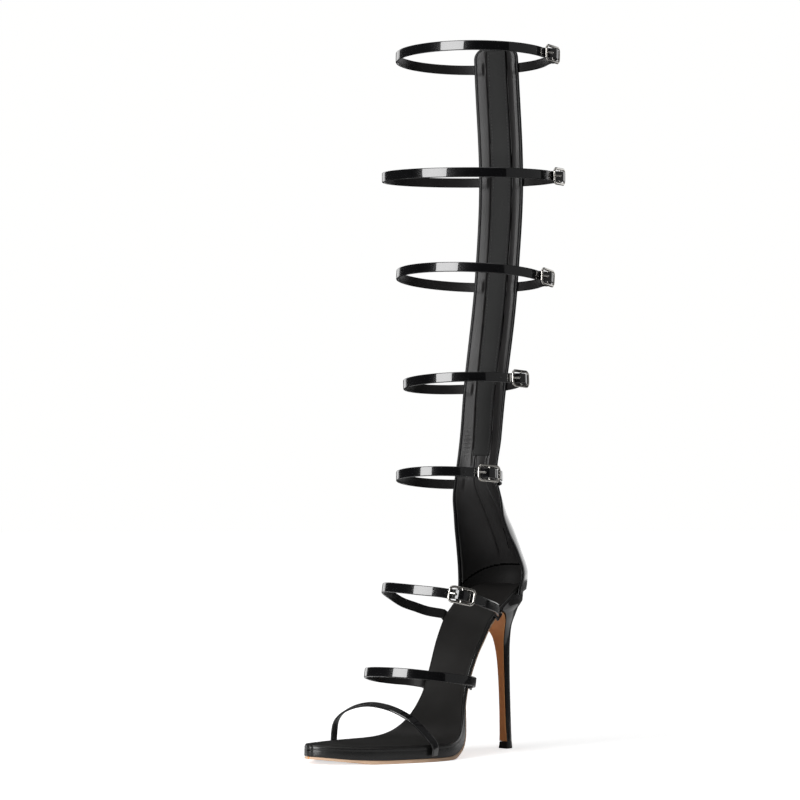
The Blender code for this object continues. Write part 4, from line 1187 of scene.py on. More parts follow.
def make_buckle(name, frame):
    along = frame.along if frame.along.dot(BACKWARD) > 0 else -frame.along
    plane_out = (frame.outward - along * BUCKLE_TILT).normalized()
    plane_along = (along + frame.outward * BUCKLE_TILT).normalized()
    base = frame.point + frame.outward * BUCKLE_LIFT

    def place(a, b, height):
        return base + plane_along * a + frame.across * b + plane_out * height

    bm = bmesh.new()
    half_long = HALF_LONG - 0.95
    half_tall = BUCKLE_TALL / 2.0 - 1.05
    level = BUCKLE_THICK / 2.0
    outline = rounded_outline(half_long, half_tall, BUCKLE_CORNER - 0.9, BUCKLE_BOW)
    wides = [RIM_WIDE - 0.05 * min(abs(a) / half_long, 1.0) ** 6 for a, _ in outline]
    points = [place(a, b, level - BUCKLE_CURVE * (a / half_long) ** 2) for a, b in outline]
    add_wire(bm, points, wides, [RIM_THICK] * len(points), plane_out, closed=True)
    bar = [place(0.0, b, level) for b in spread(-half_tall, half_tall, 6)]
    add_wire(bm, bar, [BAR_WIDE] * len(bar), [BAR_THICK] * len(bar), plane_out)
    frame_piece = finish_mesh(bm, name + "_frame", (SILVER,))
    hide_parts(name)
    bm = bmesh.new()
    front = -half_long
    route = [(-4.5, 2.2), (-5.0, 3.3), (-5.7, 3.75), (-6.5, 3.4), (-7.5, 2.85),
             (front, level + 1.25), (front - 0.75, level + 1.0), (front - 1.1, level + 0.82)]
    path = smooth_route([place(a, 0.0, height) for a, height in route], 4)
    count = len(path)
    widths = [PRONG_WIDE - 0.22 * i / (count - 1) for i in range(count - 2)] + [0.42, 0.2]
    thicks = [PRONG_THICK - 0.1 * i / (count - 1) for i in range(count - 2)] + [0.36, 0.16]
    add_wire(bm, path, widths, thicks, plane_out)
    curl = [place(CURL_RADIUS * math.sin(angle), 0.0, level + CURL_RADIUS * math.cos(angle))
            for angle in (math.radians(step) for step in range(-60, 280, 20))]
    add_wire(bm, curl, [0.85] * len(curl), [0.4] * len(curl), frame.across)
    finish_mesh(bm, name + "_prong", (SILVER,))


for name, place in buckle_frames.items():
    make_buckle("buckle_" + name, place)
print("buckles:", len(buckle_frames))

# %% [markdown]
# ## Back strip and heel cup
# One tall patent wall rises from the heel. Its edges are turned over to the inside, so the cut edge never
# shows. The turned leather is less bright than the face, and the soft lining stops just short of it.
# Patent and lining are two sheets here, and a narrow dark line is left between them.
# %% Places on the wall
CUP_LOW = 100.0
CUP_FOOT_Z = 118.0
WALL_LOW = 104.0
BINDING_LEG = 1.9
LINING_EDGE = 2.15
SHELL_INNER = 0.75
ZIP_SLOT = 2.9


def cup_foot(degrees):
    """Height of the heel cup's lower edge, level with the underside of the footbed."""
    return bed_value("z", leg_point(degrees, CUP_FOOT_Z, 0.0).y) - BED_THICK


def wall_height(share, level):
    """Height on the wall; levels up to the blend height run up from the cup's curved foot."""
    if level >= CUP_BLEND_TOP:
        return level
    foot = cup_foot(CUP_TURN + share * CUP_FRONT_DEG)
    return foot + (CUP_BLEND_TOP - foot) * (level - CUP_LOW) / (CUP_BLEND_TOP - CUP_LOW)


def wall_at_height(share, z, offset):
    return leg_point(strip_turn(z) + share * strip_span(max(z, WALL_LOW)), z, offset)


def wall_at(share, level, offset):
    return wall_at_height(share, wall_height(share, level), offset)


def wall_half(level):
    """Length from the wall's middle to its edge."""
    return path_lengths([wall_at(share, level, 1.0) for share in spread(0.0, 1.0, 8)])[-1]


LEVELS = spread(CUP_LOW, CUP_BLEND_TOP, 18)[:-1] + spread(CUP_BLEND_TOP, 250.0, 74)[:-1]
LEVELS += spread(250.0, STRIP_TOP - 12.0, 136)[:-1] + spread(STRIP_TOP - 12.0, STRIP_TOP - 2.4, 12)
print("wall has", len(LEVELS), "rows and is", round(2 * wall_half(420.0)), "mm wide at the calf")

# %% Sew the patent shell
ZIP_SLOT_LOW = 206.0
ZIP_SLOT_HIGH = STRIP_TOP - 6.0
SLOT_DEEP = 0.6
LIP_HIGH = 0.28


def zip_relief(x, z):
    """Height of the outer face beside the zip: a slot with two folded lips."""
    inside = ease((z - ZIP_SLOT_LOW) / 3.0) * ease((ZIP_SLOT_HIGH - z) / 3.0)
    lip = LIP_HIGH * bell(abs(x) - ZIP_SLOT - 0.75, 0.42)
    return (lip - SLOT_DEEP * ease((ZIP_SLOT - abs(x)) / 0.35)) * inside


# Half the wall's thickness, which is also the radius of its edges.
ROUND = 1.0
# Places across the outer face, close together at the slot's lips, and how many more reach the edge.
SLOT_PLACES = [0.0, 1.6, 2.5, 2.75, 2.95, 3.2, 3.5, 3.8, 4.2, 4.8]
FACE_STEPS = 22
# Faces of each ring that are bright patent; the rest are the turned edge and the inside.
BRIGHT_FACES = 61


def shell_ring(level, squeeze=1.0, inner=SHELL_INNER):
    """Section of the patent shell: outer face, round edge, turned leg and inner face, and back."""
    half = wall_half(level)
    start = SLOT_PLACES[-1]
    wide = [start + (half - ROUND - start) * share for share in spread(0.0, 1.0, FACE_STEPS)[1:]]
    side = [-value for value in reversed(SLOT_PLACES[1:] + wide)] + SLOT_PLACES + wide
    outer = [(x, WALL + zip_relief(x, wall_height(x / half, level))) for x in side]
    turn = [(half - ROUND + math.sin(math.radians(step)), ROUND + math.cos(math.radians(step)))
            for step in range(15, 180, 15)]
    leg = [(half - ROUND, 0.0), (half - BINDING_LEG, 0.0), (half - BINDING_LEG - 0.08, 0.1),
           (half - BINDING_LEG - 0.1, inner)]
    inside = [((half - BINDING_LEG - 0.1) * share, inner) for share in (0.75, 0.5, 0.25, 0.0)]
    right = turn + leg + inside
    left = [(-x, offset) for x, offset in reversed(right[:-1])]
    points = []
    for x, offset in outer + right + left:
        points.append(wall_at(x / half, level, ROUND + (offset - ROUND) * squeeze))
    return points


def make_shell():
    """Rings up the wall, and then some that close and round its top edge."""
    rings = [shell_ring(level) for level in LEVELS]
    for below in (2.3, 1.9, 1.5, 1.0):
        rings.append(shell_ring(STRIP_TOP - below, 1.0, 0.1 if below > 2.0 else 0.0))
    for below in (0.75, 0.5, 0.28, 0.12, 0.03, 0.0):
        rings.append(shell_ring(STRIP_TOP - below, max(math.sqrt(1.0 - (1.0 - below) ** 2), 0.06), 0.0))
    made = make_skin("upper_shell", rings, (PATENT, EDGE), 50.0,
                     lambda i, j: int(j >= BRIGHT_FACES))
    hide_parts("upper")
    return made


shell = make_shell()
print("shell:", len(shell.data.polygons), "faces")

# %% [markdown]
# ## Lining
# The inside is a soft black leather in three widths: a narrow guard behind the zip and a panel on each
# side. The ends of the straps are sewn in between the layers and press through the lining as small
# raised pads. Pads, seams and slit are relief in the sheet itself, and the gaps get a near-black finish
# that is painted shade, standing in for the shadow that falls into them.
# %% Shape the lining
GUARD_HALF = 8.0
GUARD_LOW = 222.0
# How far a strap end reaches in from the wall's edge, and half its height.
STRAP_PAD = 7.4
PAD_HALF = 3.9

SeamRow = namedtuple("SeamRow", "z degrees")
# Where the inner panels of the heel cup meet, in degrees round the oval.
SEAM = [SeamRow(*row) for row in (
    (148.0, -23.0), (165.0, -22.1), (180.0, -19.3), (203.0, -14.6), (224.0, -15.4),
)]


def plateau(distance, reach, soft):
    """1 within the reach and 0 beyond, with a soft edge."""
    return 1.0 - ease((distance - reach + soft) / (2.0 * soft))


def loop_height(loop, share):
    """Height at which a leg strap crosses the wall."""
    return loop_point(loop, strip_turn(loop.z) + share * strip_span(loop.z), WALL).z


PAD_HEIGHTS = [(loop_height(loop, -1.0), loop_height(loop, 1.0)) for loop in LOOPS]


GRIP_TOP = 138.8
GRIP_FALL = 14.4
GRIP_LEVEL = 130.0


def grip_height(share):
    """Upper edge of the heel grip, highest at the back."""
    degrees = strip_turn(GRIP_LEVEL) + share * strip_span(GRIP_LEVEL)
    return GRIP_TOP - GRIP_FALL * abs(degrees / 82.0) ** 2.92


def strap_pads(x, z, half):
    """Raised pads where the strap ends lie between the layers."""
    inset = half - abs(x)
    rise = 0.0
    for low_side, high_side in PAD_HEIGHTS:
        middle = low_side if x < 0 else high_side
        if abs(z - middle) < 8.0:
            rise = max(rise, plateau(inset, STRAP_PAD, 1.3) * plateau(abs(z - middle), PAD_HALF, 1.1))
            rise -= 0.35 * bell(inset - STRAP_PAD - 1.4, 0.8) * plateau(abs(z - middle), 3.4, 1.6)
    return rise


CUP_RADIUS = 34.0
SLIT_LOW = 150.0
SLIT_HIGH = 168.0
SEAM_HIGH = 224.0
PANEL_LOW = 214.0
GRIP_STEP_HIGH = 172.0


def slit_distance(share, z):
    """Distance in mm across the lining from the short leaning slit beside the seam."""
    degrees = strip_turn(z) + share * strip_span(z)
    return math.radians(degrees - 2.0 + 0.28 * (165.0 - z)) * CUP_RADIUS


def lining_rise(share, x, z, half):
    """How far the lining stands in from the wall at one place."""
    rise = 0.05 + 0.55 * strap_pads(x, z, half)
    if z > PANEL_LOW:
        # The side panels are padded, and a groove runs between each of them and the zip guard.
        start = GUARD_HALF - 0.6
        part = (abs(x) - start) / max(half - LINING_EDGE - start, 1.0)
        if 0.0 < part < 1.0 and x < 0:
            rise += 0.42 * math.sin(math.pi * part) ** 0.7 * ease((z - PANEL_LOW) / 16.0)
        elif 0.0 < part < 1.0:
            rise += 0.62 * ease(part / 0.62) * ease((1.0 - part) / 0.3) * ease((z - PANEL_LOW) / 16.0)
        rise -= (0.75 if x > 0 else 0.45) * bell(abs(x) - GUARD_HALF - 0.55, 0.6 if x > 0 else 0.45)
    if z < SEAM_HIGH:
        # The seams of the heel cup's panels, with the leather swelling beside them.
        seam = abs(read(SEAM, "z", "degrees", z) - strip_turn(z)) / strip_span(z)
        beside = (abs(share) - seam) * half
        rise -= 0.95 * bell(beside, 0.5) * ease((z - 144.0) / 6.0) * ease((SEAM_HIGH - z) / 5.0)
        rise += 0.25 * bell(beside - 2.4, 1.7) * ease((z - 140.0) / 16.0) * ease((SEAM_HIGH - z) / 8.0)
    ripple = bell((z - 232.0) / 7.0, 1.0) * bell((share + 0.67) / 0.09, 1.0)
    rise += 0.2 * ripple * math.sin(z * 2 * math.pi / 3.1 + share * 6.0)
    if SLIT_LOW < z < SLIT_HIGH:
        place = slit_distance(share, z)
        slit = bell(place, 0.6) * ease((z - (SLIT_LOW + 1.0)) / 3.0) * ease((SLIT_HIGH - 1.5 - z) / 3.0)
        lip = 0.3 * bell(place - 1.6, 0.9) * ease((z - SLIT_LOW) / 5.0) * ease((SLIT_HIGH - z) / 5.0)
        rise += lip - 0.98 * slit
    if z < GRIP_STEP_HIGH:
        above = z - grip_height(share)
        rise += 0.55 * ease((above + 0.2) / 0.7) * ease((GRIP_STEP_HIGH - z) / 26.0)
    slow = math.sin(z / 23.0 + x * 0.11) * math.sin(z / 9.5 - x * 0.21 + 1.3)
    return rise + 0.07 * slow


LINING_COLUMNS = 168


# Faces that get the painted shade: beside the guard, wider on the outer side where the guard casts its
# shadow, in the slit and just over the grip's edge.
def in_painted_gap_shade(share, x, z):
    beside_guard = z > SEAM_HIGH + 2.0 and abs(abs(x) - GUARD_HALF - 0.6) < (0.5 if x > 0 else 0.22)
    in_slit = SLIT_LOW + 1.5 < z < SLIT_HIGH - 2.0 and abs(slit_distance(share, z)) < 0.8
    over_grip = abs(z - grip_height(share) - 0.2) < 0.7
    return beside_guard or in_slit or over_grip


def lining_ring(level, squeeze=1.0):
    half = wall_half(level)
    limit = half - LINING_EDGE
    points = []
    for share in spread(-1.0, 1.0, LINING_COLUMNS):
        x = limit * share
        z = wall_height(x / half, level)
        inset = limit - abs(x)
        edge = math.sqrt(max(1.0 - (1.0 - min(inset / 0.45, 1.0)) ** 2, 0.0))
        rise = lining_rise(x / half, x, z, half) * squeeze * (0.3 + 0.7 * edge) - 0.3 * (1.0 - edge * squeeze)
        points.append(wall_at(x / half, level, -rise))
    for share in spread(1.0, -1.0, 12):
        points.append(wall_at(limit * share / half, level, 0.62))
    return points


def make_lining_sheet():
    levels = spread(CUP_LOW, CUP_BLEND_TOP, 22)[:-1] + spread(CUP_BLEND_TOP, 222.0, 64)[:-1]
    levels += spread(222.0, 246.0, 36)[:-1] + spread(246.0, STRIP_TOP - 2.4, 170)
    rings = [lining_ring(level) for level in levels]
    rings.append(lining_ring(STRIP_TOP - 2.2, 0.5))
    rings.append(lining_ring(STRIP_TOP - 2.15, 0.0))
    halves = [wall_half(level) for level in levels]

    def slot_of(i, j):
        """1 where painted shade stands for the shadow in a seam, in the slit or over the edge of the grip."""
        if j >= LINING_COLUMNS or i >= len(levels):
            return 0
        x = (halves[i] - LINING_EDGE) * (2.0 * (j + 0.5) / LINING_COLUMNS - 1.0)
        return int(in_painted_gap_shade(x / halves[i], x, rings[i][j].z))

    return make_skin("lining", rings, (LINING, PAINTED_GAP_SHADE), 60.0, slot_of)


lining = make_lining_sheet()
print("lining:", len(lining.data.polygons), "faces")

# %% Lay the zip guard and the heel grip
def sheet_ring(xs, z, rise, thick):
    """Thin strip of leather on the lining, with soft edges; xs are distances across the wall."""
    half = wall_half(z)
    low = [wall_at_height(x / half, z, -0.02) for x in reversed(xs)]
    high = []
    reach = xs[-1]
    for x in xs:
        inset = reach - abs(x)
        edge = math.sqrt(max(1.0 - (1.0 - min(inset / 0.5, 1.0)) ** 2, 0.0))
        high.append(wall_at_height(x / half, z, -rise - thick * edge))
    return high + low


def make_zip_guard():
    """Narrow lining panel over the back of the zip."""
    rim = (0.93, 0.955, 0.975, 0.99, 1.0)
    shares = [-share for share in reversed(rim)] + spread(-0.9, 0.9, 22) + list(rim)
    xs = [GUARD_HALF * share for share in shares]
    rings = []
    for z, part in ((GUARD_LOW, 0.0), (GUARD_LOW + 0.1, 0.45), (GUARD_LOW + 0.3, 0.8)):
        rings.append(sheet_ring(xs, z, 0.03, 0.55 * part))
    for z in spread(GUARD_LOW + 0.6, STRIP_TOP - 3.2, 190):
        swell = 0.05 * math.sin(z / 17.0) + 0.04 * math.sin(z / 7.3 + 1.0)
        rings.append(sheet_ring(xs, z, 0.05, 0.6 + swell))
    for below, part in ((2.9, 0.8), (2.7, 0.45), (2.6, 0.0)):
        rings.append(sheet_ring(xs, STRIP_TOP - below, 0.03, 0.55 * part))
    return make_skin("zip_guard", rings, (GUARD,), 60.0)


GRIP_SHARE = 0.965


def make_heel_grip():
    """Black sock leather that lines the bottom of the heel cup up to a curved edge."""
    shares = spread(-GRIP_SHARE, GRIP_SHARE, 72)
    parts = [(part, 0.3) for part in spread(0.0, 0.97, 16)] + [(0.985, 0.26), (0.995, 0.18), (1.0, 0.02)]
    rings = []
    for part, thick in parts:
        high = []
        low = []
        for share in shares:
            foot = cup_foot(CUP_TURN + share * CUP_FRONT_DEG) + 1.0
            z = foot + (grip_height(share) - foot) * part
            inset = 1.0 - (abs(share) / GRIP_SHARE) ** 30
            high.append(wall_at_height(share, z, -0.05 - thick * inset))
            low.append(wall_at_height(share, z, 0.1))
        rings.append(high + low[::-1])
    return make_skin("heel_grip", rings, (GRIP,), 60.0)


guard = make_zip_guard()
grip = make_heel_grip()
print("guard and grip:", len(guard.data.polygons) + len(grip.data.polygons), "faces")

# %% [markdown]
# ## Footbed and platform
# Under the foot lie four layers: a thin black sock, an insole board and, under the forefoot, a platform,
# both wrapped in smooth leather a little less bright than the straps, and the sole leather. Each layer
# is a loft of cross-sections along the foot. The sock is slightly dished, so the foot sits in it.
# %% Cut the layers of the sole
LAYER_COLUMNS = 18
BED_BACK = 13.15


def layer_section(half, thick, round_top, round_low, dish):
    """Closed section of a layer as (across, depth), with round edges and a dished top."""
    top_edge = min(round_top, half * 0.5, thick * 0.48)
    low_edge = min(round_low, half * 0.5, thick * 0.48)
    flat = half - top_edge
    top = [(flat * share, dish * (1.0 - share * share)) for share in spread(-1.0, 1.0, LAYER_COLUMNS)]
    side = []
    for step in (22, 45, 68, 90):
        angle = math.radians(step)
        side.append((flat + top_edge * math.sin(angle), top_edge - top_edge * math.cos(angle)))
    flat = half - low_edge
    for step in (0, 22, 45, 68, 90):
        angle = math.radians(step)
        side.append((flat + low_edge * math.cos(angle), thick - low_edge + low_edge * math.sin(angle)))
    under = [(flat * share, thick) for share in (0.66, 0.33, 0.0, -0.33, -0.66)]
    return top + side + under + [(-a, b) for a, b in reversed(side)]


def bed_stations(start):
    """Places along the footbed up to its toe, close together at both rounded ends."""
    places = [BED_BACK, 13.0, 12.7, 12.2, 11.4, 10.4, 9.0, 7.2, 5.0, 2.4]
    places += spread(0.0, TOE_Y + 6.0, 112)
    places += [TOE_Y + extra for extra in (4.8, 3.6, 2.6, 1.8, 1.0, 0.4, 0.0)]
    return [y for y in places if y <= start]


def layer_rings(start, top_of, thick_of, inset, round_top, round_low, dish_of=None):
    """Sections of one layer, with four smaller ones that round off its toe end."""
    stations = [(y, 1.0) for y in bed_stations(start)]
    stations += [(TOE_Y - 0.45, 0.92), (TOE_Y - 0.85, 0.74), (TOE_Y - 1.15, 0.48), (TOE_Y - 1.3, 0.2)]
    out = []
    for y, narrow in stations:
        inner, outer = bed_edges(y, inset)
        middle = (inner + outer) / 2.0
        half = (outer - inner) / 2.0 * narrow
        top = top_of(y)
        dish = dish_of(y) if dish_of else 0.0
        ring = []
        for a, depth in layer_section(half, thick_of(y), round_top, round_low, dish):
            depth += (thick_of(y) / 2.0 - depth) * (1.0 - narrow) * 0.35
            place_y, place_z = bed_point(y, top + depth)
            ring.append(Vector((middle + a, place_y, max(place_z, 0.02))))
        out.append(ring)
    return out


# Hollows of the footbed in the arch, under the ball and under the heel, as (depth, y, reach).
HOLLOWS = ((0.95, -62.0, 14.0), (0.45, -130.0, 26.0), (0.7, -10.0, 14.0))
DISH_LEAST = 0.25


def bed_dish(y):
    """Depth of the footbed's hollow at its middle."""
    return sum((depth * bell(y - place, reach) for depth, place, reach in HOLLOWS), DISH_LEAST)


SOCK_THICK = 0.9
SOCK_INSET = 0.75


def make_sock():
    rings = layer_rings(BED_BACK, lambda y: 0.0, lambda y: SOCK_THICK + 0.8, SOCK_INSET, 0.35, 0.1, bed_dish)
    made = make_skin("sock", rings, (SOCK,), 60.0)
    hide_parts("footbed")
    return made


def make_insole_wrap():
    thick = BED_THICK - SOCK_THICK
    rings = layer_rings(BED_BACK, lambda y: SOCK_THICK, lambda y: thick, 0.0, 0.9, 0.12, bed_dish)
    return make_skin("insole_wrap", rings, (WRAP,), 60.0)


def make_platform_wrap():
    top = BED_THICK + 0.03
    rings = layer_rings(PLATFORM_BACK, lambda y: top, lambda y: platform_thick(y) + 0.4, 0.0, 0.12, 0.6)
    made = make_skin("platform_wrap", rings, (WRAP,), 60.0)
    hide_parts("platform")
    return made


layers = [make_sock(), make_insole_wrap(), make_platform_wrap()]
print("layers:", [len(layer.data.polygons) for layer in layers])

# %% [markdown]
# ## Sole leather
# One piece of pale tan leather runs from the toe, up the arch and down the front of the heel. Its cut
# edge is lighter than its face. Under the ball of the foot it lies flat on the floor.
# %% Lay the sole leather
CUT_ROUND = 0.35


def leather_section(half, thick):
    """Closed section as (across, depth, is_edge)."""
    cut = min(CUT_ROUND, thick * 0.3)
    top = [(half - cut) * share for share in spread(-1.0, 1.0, 10)]
    points = [(a, 0.0, False) for a in top]
    points += [(half, cut, True), (half, thick * 0.5, True), (half, thick - cut, True)]
    points += [(a, thick, False) for a in reversed(top)]
    points += [(-half, thick - cut, True), (-half, thick * 0.5, True), (-half, cut, True)]
    return points


def sole_ring(y, narrow=1.0):
    top = BED_THICK + LAYER_GAP
    if y <= PLATFORM_BACK:
        top += platform_thick(y) + LAYER_GAP
    inner, outer = bed_edges(y, 0.5)
    middle = (inner + outer) / 2.0
    flat = ease((FLAT_SPOT[1] + 9.0 - y) / FLAT_FADE) * ease((y - FLAT_SPOT[0] + 9.0) / FLAT_FADE)
    ring = []
    thick = sole_thin(y)
    for a, depth, _ in leather_section((outer - inner) / 2.0 * narrow, thick):
        place_y, place_z = bed_point(y, top + depth)
        low = depth / thick
        place_z = max(place_z - max(place_z, 0.0) * flat * low ** 4, 0.0)
        ring.append(Vector((middle + a, place_y, place_z)))
    return ring


def breast_ring(row, along):
    """Section of the leather on the front of the heel; along is its running direction (y, z)."""
    out_y, out_z = along[1], -along[0]
    return [Vector((row.mid_x + a, row.y + out_y * depth, row.z + out_z * depth))
            for a, depth, _ in leather_section(row.half, row.thick)]


def make_sole():
    rings = [sole_ring(TOE_Y - extra, narrow) for extra, narrow in ((1.0, 0.3), (0.8, 0.6), (0.45, 0.86))]
    rings += [sole_ring(y) for y in reversed(bed_stations(SOLE_BACK))]
    rows = smooth_rows(BREAST, 6)
    first = bed_point(SOLE_BACK, BED_THICK + LAYER_GAP)
    places = [first] + [(row.y, row.z) for row in rows]
    for i, row in enumerate(rows):
        behind = places[i]
        beyond = places[min(i + 2, len(places) - 1)]
        size = math.hypot(beyond[0] - behind[0], beyond[1] - behind[1])
        rings.append(breast_ring(row, ((beyond[0] - behind[0]) / size, (beyond[1] - behind[1]) / size)))
    edges = [edge for _, _, edge in leather_section(10.0, SOLE_THIN)]
    last_pale = len(rings) - len(rows) + 3

    def slot_of(i, j):
        """1 on the paler cut edge, which ends where the leather meets the heel."""
        return int(i < last_pale and (edges[j] or edges[(j + 1) % len(edges)]))

    made = make_skin("sole", rings, (SOLE, SOLE_EDGE), 50.0, slot_of)
    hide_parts("outsole")
    return made


sole = make_sole()
print("sole leather:", len(sole.data.polygons), "faces")

# %% [markdown]
# ## Heel
# The stiletto is a slim core wrapped in the same patent, flat at the front where the sole leather runs
# down it, and it swells into the seat under the heel cup. Its tip is a small block of hard black rubber,
# a little wider than the heel above it.
# %% Turn the heel and its tip
HEEL_SIDES = 44


def heel_ring(row, grow=0.0):
    """Flat-fronted oval that slopes from its front to its back, a little pinched under the seat."""
    rising = max((row.front_z - 82.0) / 10.0, 0.0)
    ending = max((105.5 - row.front_z) / 2.0, 0.0)
    pinch = HEEL_PINCH * min(rising, ending, 1.0)
    points = []
    for i in range(HEEL_SIDES + 1):
        angle = math.radians(-90.0 + 180.0 * i / HEEL_SIDES)
        share = math.cos(angle)
        x = row.mid_x + (row.half + grow) * math.sin(angle) * (1.0 - pinch * share)
        y = row.front_y - grow + (row.back_y - row.front_y + 2 * grow) * share
        points.append(Vector((x, y, row.front_z + (row.back_z - row.front_z) * share)))
    return points


def seat_under(y):
    """Height of the footbed's underside over the heel."""
    place = y
    for _ in range(6):
        place -= bed_point(place, BED_THICK)[0] - y
    return bed_point(min(place, 12.6), BED_THICK)[1]


def make_heel():
    """Heel up to the seat, with rings that swell out to the underside of the footbed."""
    rings = [heel_ring(row) for row in smooth_rows(HEEL, 8)]
    seat = heel_ring(HEEL[-1]._replace(front_z=0.0, back_y=HEEL_TOP_BACK, back_z=0.0, half=HEEL_TOP_HALF))
    for point in seat:
        point.z = seat_under(point.y) - 0.05
    last = rings[-1]
    slope = [b - a for a, b in zip(rings[-5], last)]
    for part in (0.2, 0.4, 0.6, 0.8, 1.0):
        ring = []
        for low, high, lean in zip(last, seat, slope):
            straight = low.lerp(high, part)
            pull = part * (1.0 - part) ** 2
            ring.append(straight + Vector((lean.x * pull * 0.5, lean.y * pull * 0.3, 0.0)))
        rings.append(ring)
    made = make_skin("heel_cover", rings, (PATENT,), 55.0)
    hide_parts("heel")
    return made


def make_heel_tip():
    levels = ((0.0, 0.3), (0.12, 0.55), (0.4, 0.68), (0.9, 0.66), (2.4, 0.42), (TIP_TALL - 0.6, 0.22),
              (TIP_TALL - 0.25, 0.16), (TIP_TALL - 0.06, 0.02), (TIP_TALL, -0.2))
    rings = [heel_ring(HeelRow(-3.4, z, 5.0, z, 3.6, 0.0), grow) for z, grow in levels]
    made = make_skin("tip", rings, (RUBBER,), 60.0)
    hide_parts("heel_tip")
    return made


heel = make_heel()
tip = make_heel_tip()
print("heel:", len(heel.data.polygons), "faces, tip:", len(tip.data.polygons))

# %% [markdown]
# ## Back zip
# The zip runs up the middle of the back strip. A woven tape lies in the slot between the two folded
# lips, and two rows of small teeth mesh along it. The slider stands just below the top strap, and above
# it the two rows part. Teeth are small rounded blocks, each on its own side.
# %% Make the zip's tape and teeth
ZIP_LOW = 208.0
ZIP_HIGH = 525.0
SLIDER_Z = 503.0
TOOTH_PITCH = 1.7
CHAIN_THICK = 1.2
GAP = 0.3


def zip_axes(z, offset=WALL + GAP):
    """Place on the strip's middle, with its sideways, upward and outward directions."""
    here = leg_point(strip_turn(z), z, offset)
    above = leg_point(strip_turn(z + 4), z + 4, offset)
    below = leg_point(strip_turn(z - 4), z - 4, offset)
    side = (leg_point(strip_turn(z) + 3, z, WALL) - leg_point(strip_turn(z) - 3, z, WALL)).normalized()
    up = (above - below).normalized()
    outward = up.cross(side).normalized()
    if outward.y < 0:
        outward = -outward
    side = outward.cross(up).normalized()
    if side.x < 0:
        side = -side
    return here, side, up, outward


TAPE_SECTION = ((-3.3, 0.0), (3.3, 0.0), (3.3, 0.3), (2.0, 0.42), (0.5, 0.55), (-0.5, 0.55), (-2.0, 0.42),
                (-3.3, 0.3))


def make_zip_tape():
    rings = []
    for z in spread(ZIP_LOW - 2.0, STRIP_TOP - 4.0, 160):
        here, side, _, outward = zip_axes(z, 1.35)
        rings.append([here + side * a + outward * b for a, b in TAPE_SECTION])
    make_skin("zip_tape", rings, (TAPE,), 70.0)


# A tooth's sections from its root to its head: place, half height, and the depths of its two faces.
TOOTH_ROWS = ((2.15, 0.5, 0.1, 0.8), (1.7, 0.56, 0.0, 1.15), (0.5, 0.5, 0.0, 1.3), (-0.1, 0.62, 0.05, 1.3),
              (-0.45, 0.5, 0.2, 1.1))
TOOTH_SECTION = ((-1.0, 0.15), (-0.7, 0.0), (0.7, 0.0), (1.0, 0.15), (1.0, 0.8), (0.6, 1.0), (-0.6, 1.0),
                 (-1.0, 0.8))


def add_tooth(bm, z, sign):
    """One tooth: a block that narrows towards the middle and a small head that meshes."""
    here, side, up, outward = zip_axes(z, 1.8)
    apart = 1.1 * ease((z - SLIDER_Z - 3.0) / 16.0)
    rings = []
    for a, half, low, high in TOOTH_ROWS:
        centre = here + side * (sign * (a + apart))
        rings.append([centre + up * (half * b) + outward * (low + (high - low) * c)
                      for b, c in TOOTH_SECTION])
    add_skin(bm, rings)


def make_zip_teeth():
    bm = bmesh.new()
    count = int((ZIP_HIGH - ZIP_LOW - 4.0) / TOOTH_PITCH)
    for i in range(count):
        z = ZIP_LOW + 2.0 + i * TOOTH_PITCH
        add_tooth(bm, z, 1)
        add_tooth(bm, z + TOOTH_PITCH / 2.0, -1)
    made = finish_mesh(bm, "zip_teeth", (BLACK_METAL,), sharp=35.0)
    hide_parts("zip_chain")
    return count


make_zip_tape()
print("teeth on each side:", make_zip_teeth())

# %% Make the slider and its pull
SLIDER_WIDE = 7.6
SLIDER_TALL = 9.0
SLIDER_THICK = 2.4
ARCH_WIDE = 1.8
ARCH_HALF = 3.3
ARCH_RISE = 3.6
ARCH_BAR = 1.2
PULL_EYE = 5.0
PULL_LONG = 33.0
EYE_SIDES = 28
EYE_WIRE = 0.62


def slider_base():
    here, side, up, outward = zip_axes(SLIDER_Z)
    return here + outward * (CHAIN_THICK + GAP + 0.1), side, up, outward


def slider_outline(grow):
    """Heart-like outline of the slider, wide at its shoulders and square at its foot."""
    half = SLIDER_WIDE / 2.0 + grow
    tall = SLIDER_TALL / 2.0 + grow
    points = [(half - 1.0, -tall), (half - 0.3, -tall + 0.5), (half - 0.1, -tall + 1.4), (half, tall * 0.1),
              (half, tall * 0.45), (half - 0.4, tall * 0.75), (half - 1.3, tall * 0.95), (half - 2.2, tall),
              (0.45, tall - 0.2)]
    return points + [(-a, b) for a, b in reversed(points)]


def make_zip_slider():
    base, side, up, outward = slider_base()
    bm = bmesh.new()
    rings = []
    for grow, height in ((-0.5, -1.5), (-0.2, -1.4), (-0.05, -1.1), (-0.05, 0.4), (0.0, 1.5), (-0.12, 2.0),
                         (-0.4, 2.3), (-0.9, SLIDER_THICK), (-2.2, SLIDER_THICK)):
        rings.append([base + side * a + up * b + outward * height for a, b in slider_outline(grow)])
    add_skin(bm, rings)
    top = SLIDER_THICK
    rise = top + ARCH_RISE - ARCH_BAR / 2.0
    foot = [(ARCH_HALF - 0.6, top - 0.6), (ARCH_HALF - 0.6, top + 0.8), (ARCH_HALF - 0.8, rise - 0.9),
            (ARCH_HALF - 1.5, rise - 0.15), (1.0, rise)]
    profile = [(-a, b) for a, b in foot] + [(0.0, rise)] + foot[::-1]
    path = smooth_route([base + up * a + outward * b for a, b in profile], 3)
    add_wire(bm, path, [ARCH_WIDE / 2.0] * len(path), [ARCH_BAR / 2.0] * len(path), outward + up * 0.01)
    made = finish_mesh(bm, "zip_slider_body", (BLACK_METAL,), sharp=40.0)
    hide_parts("zip_slider")


def pull_place():
    base, side, up, outward = slider_base()
    height = SLIDER_THICK + (ARCH_RISE - ARCH_BAR) / 2.0
    return base + outward * height, side, up, outward


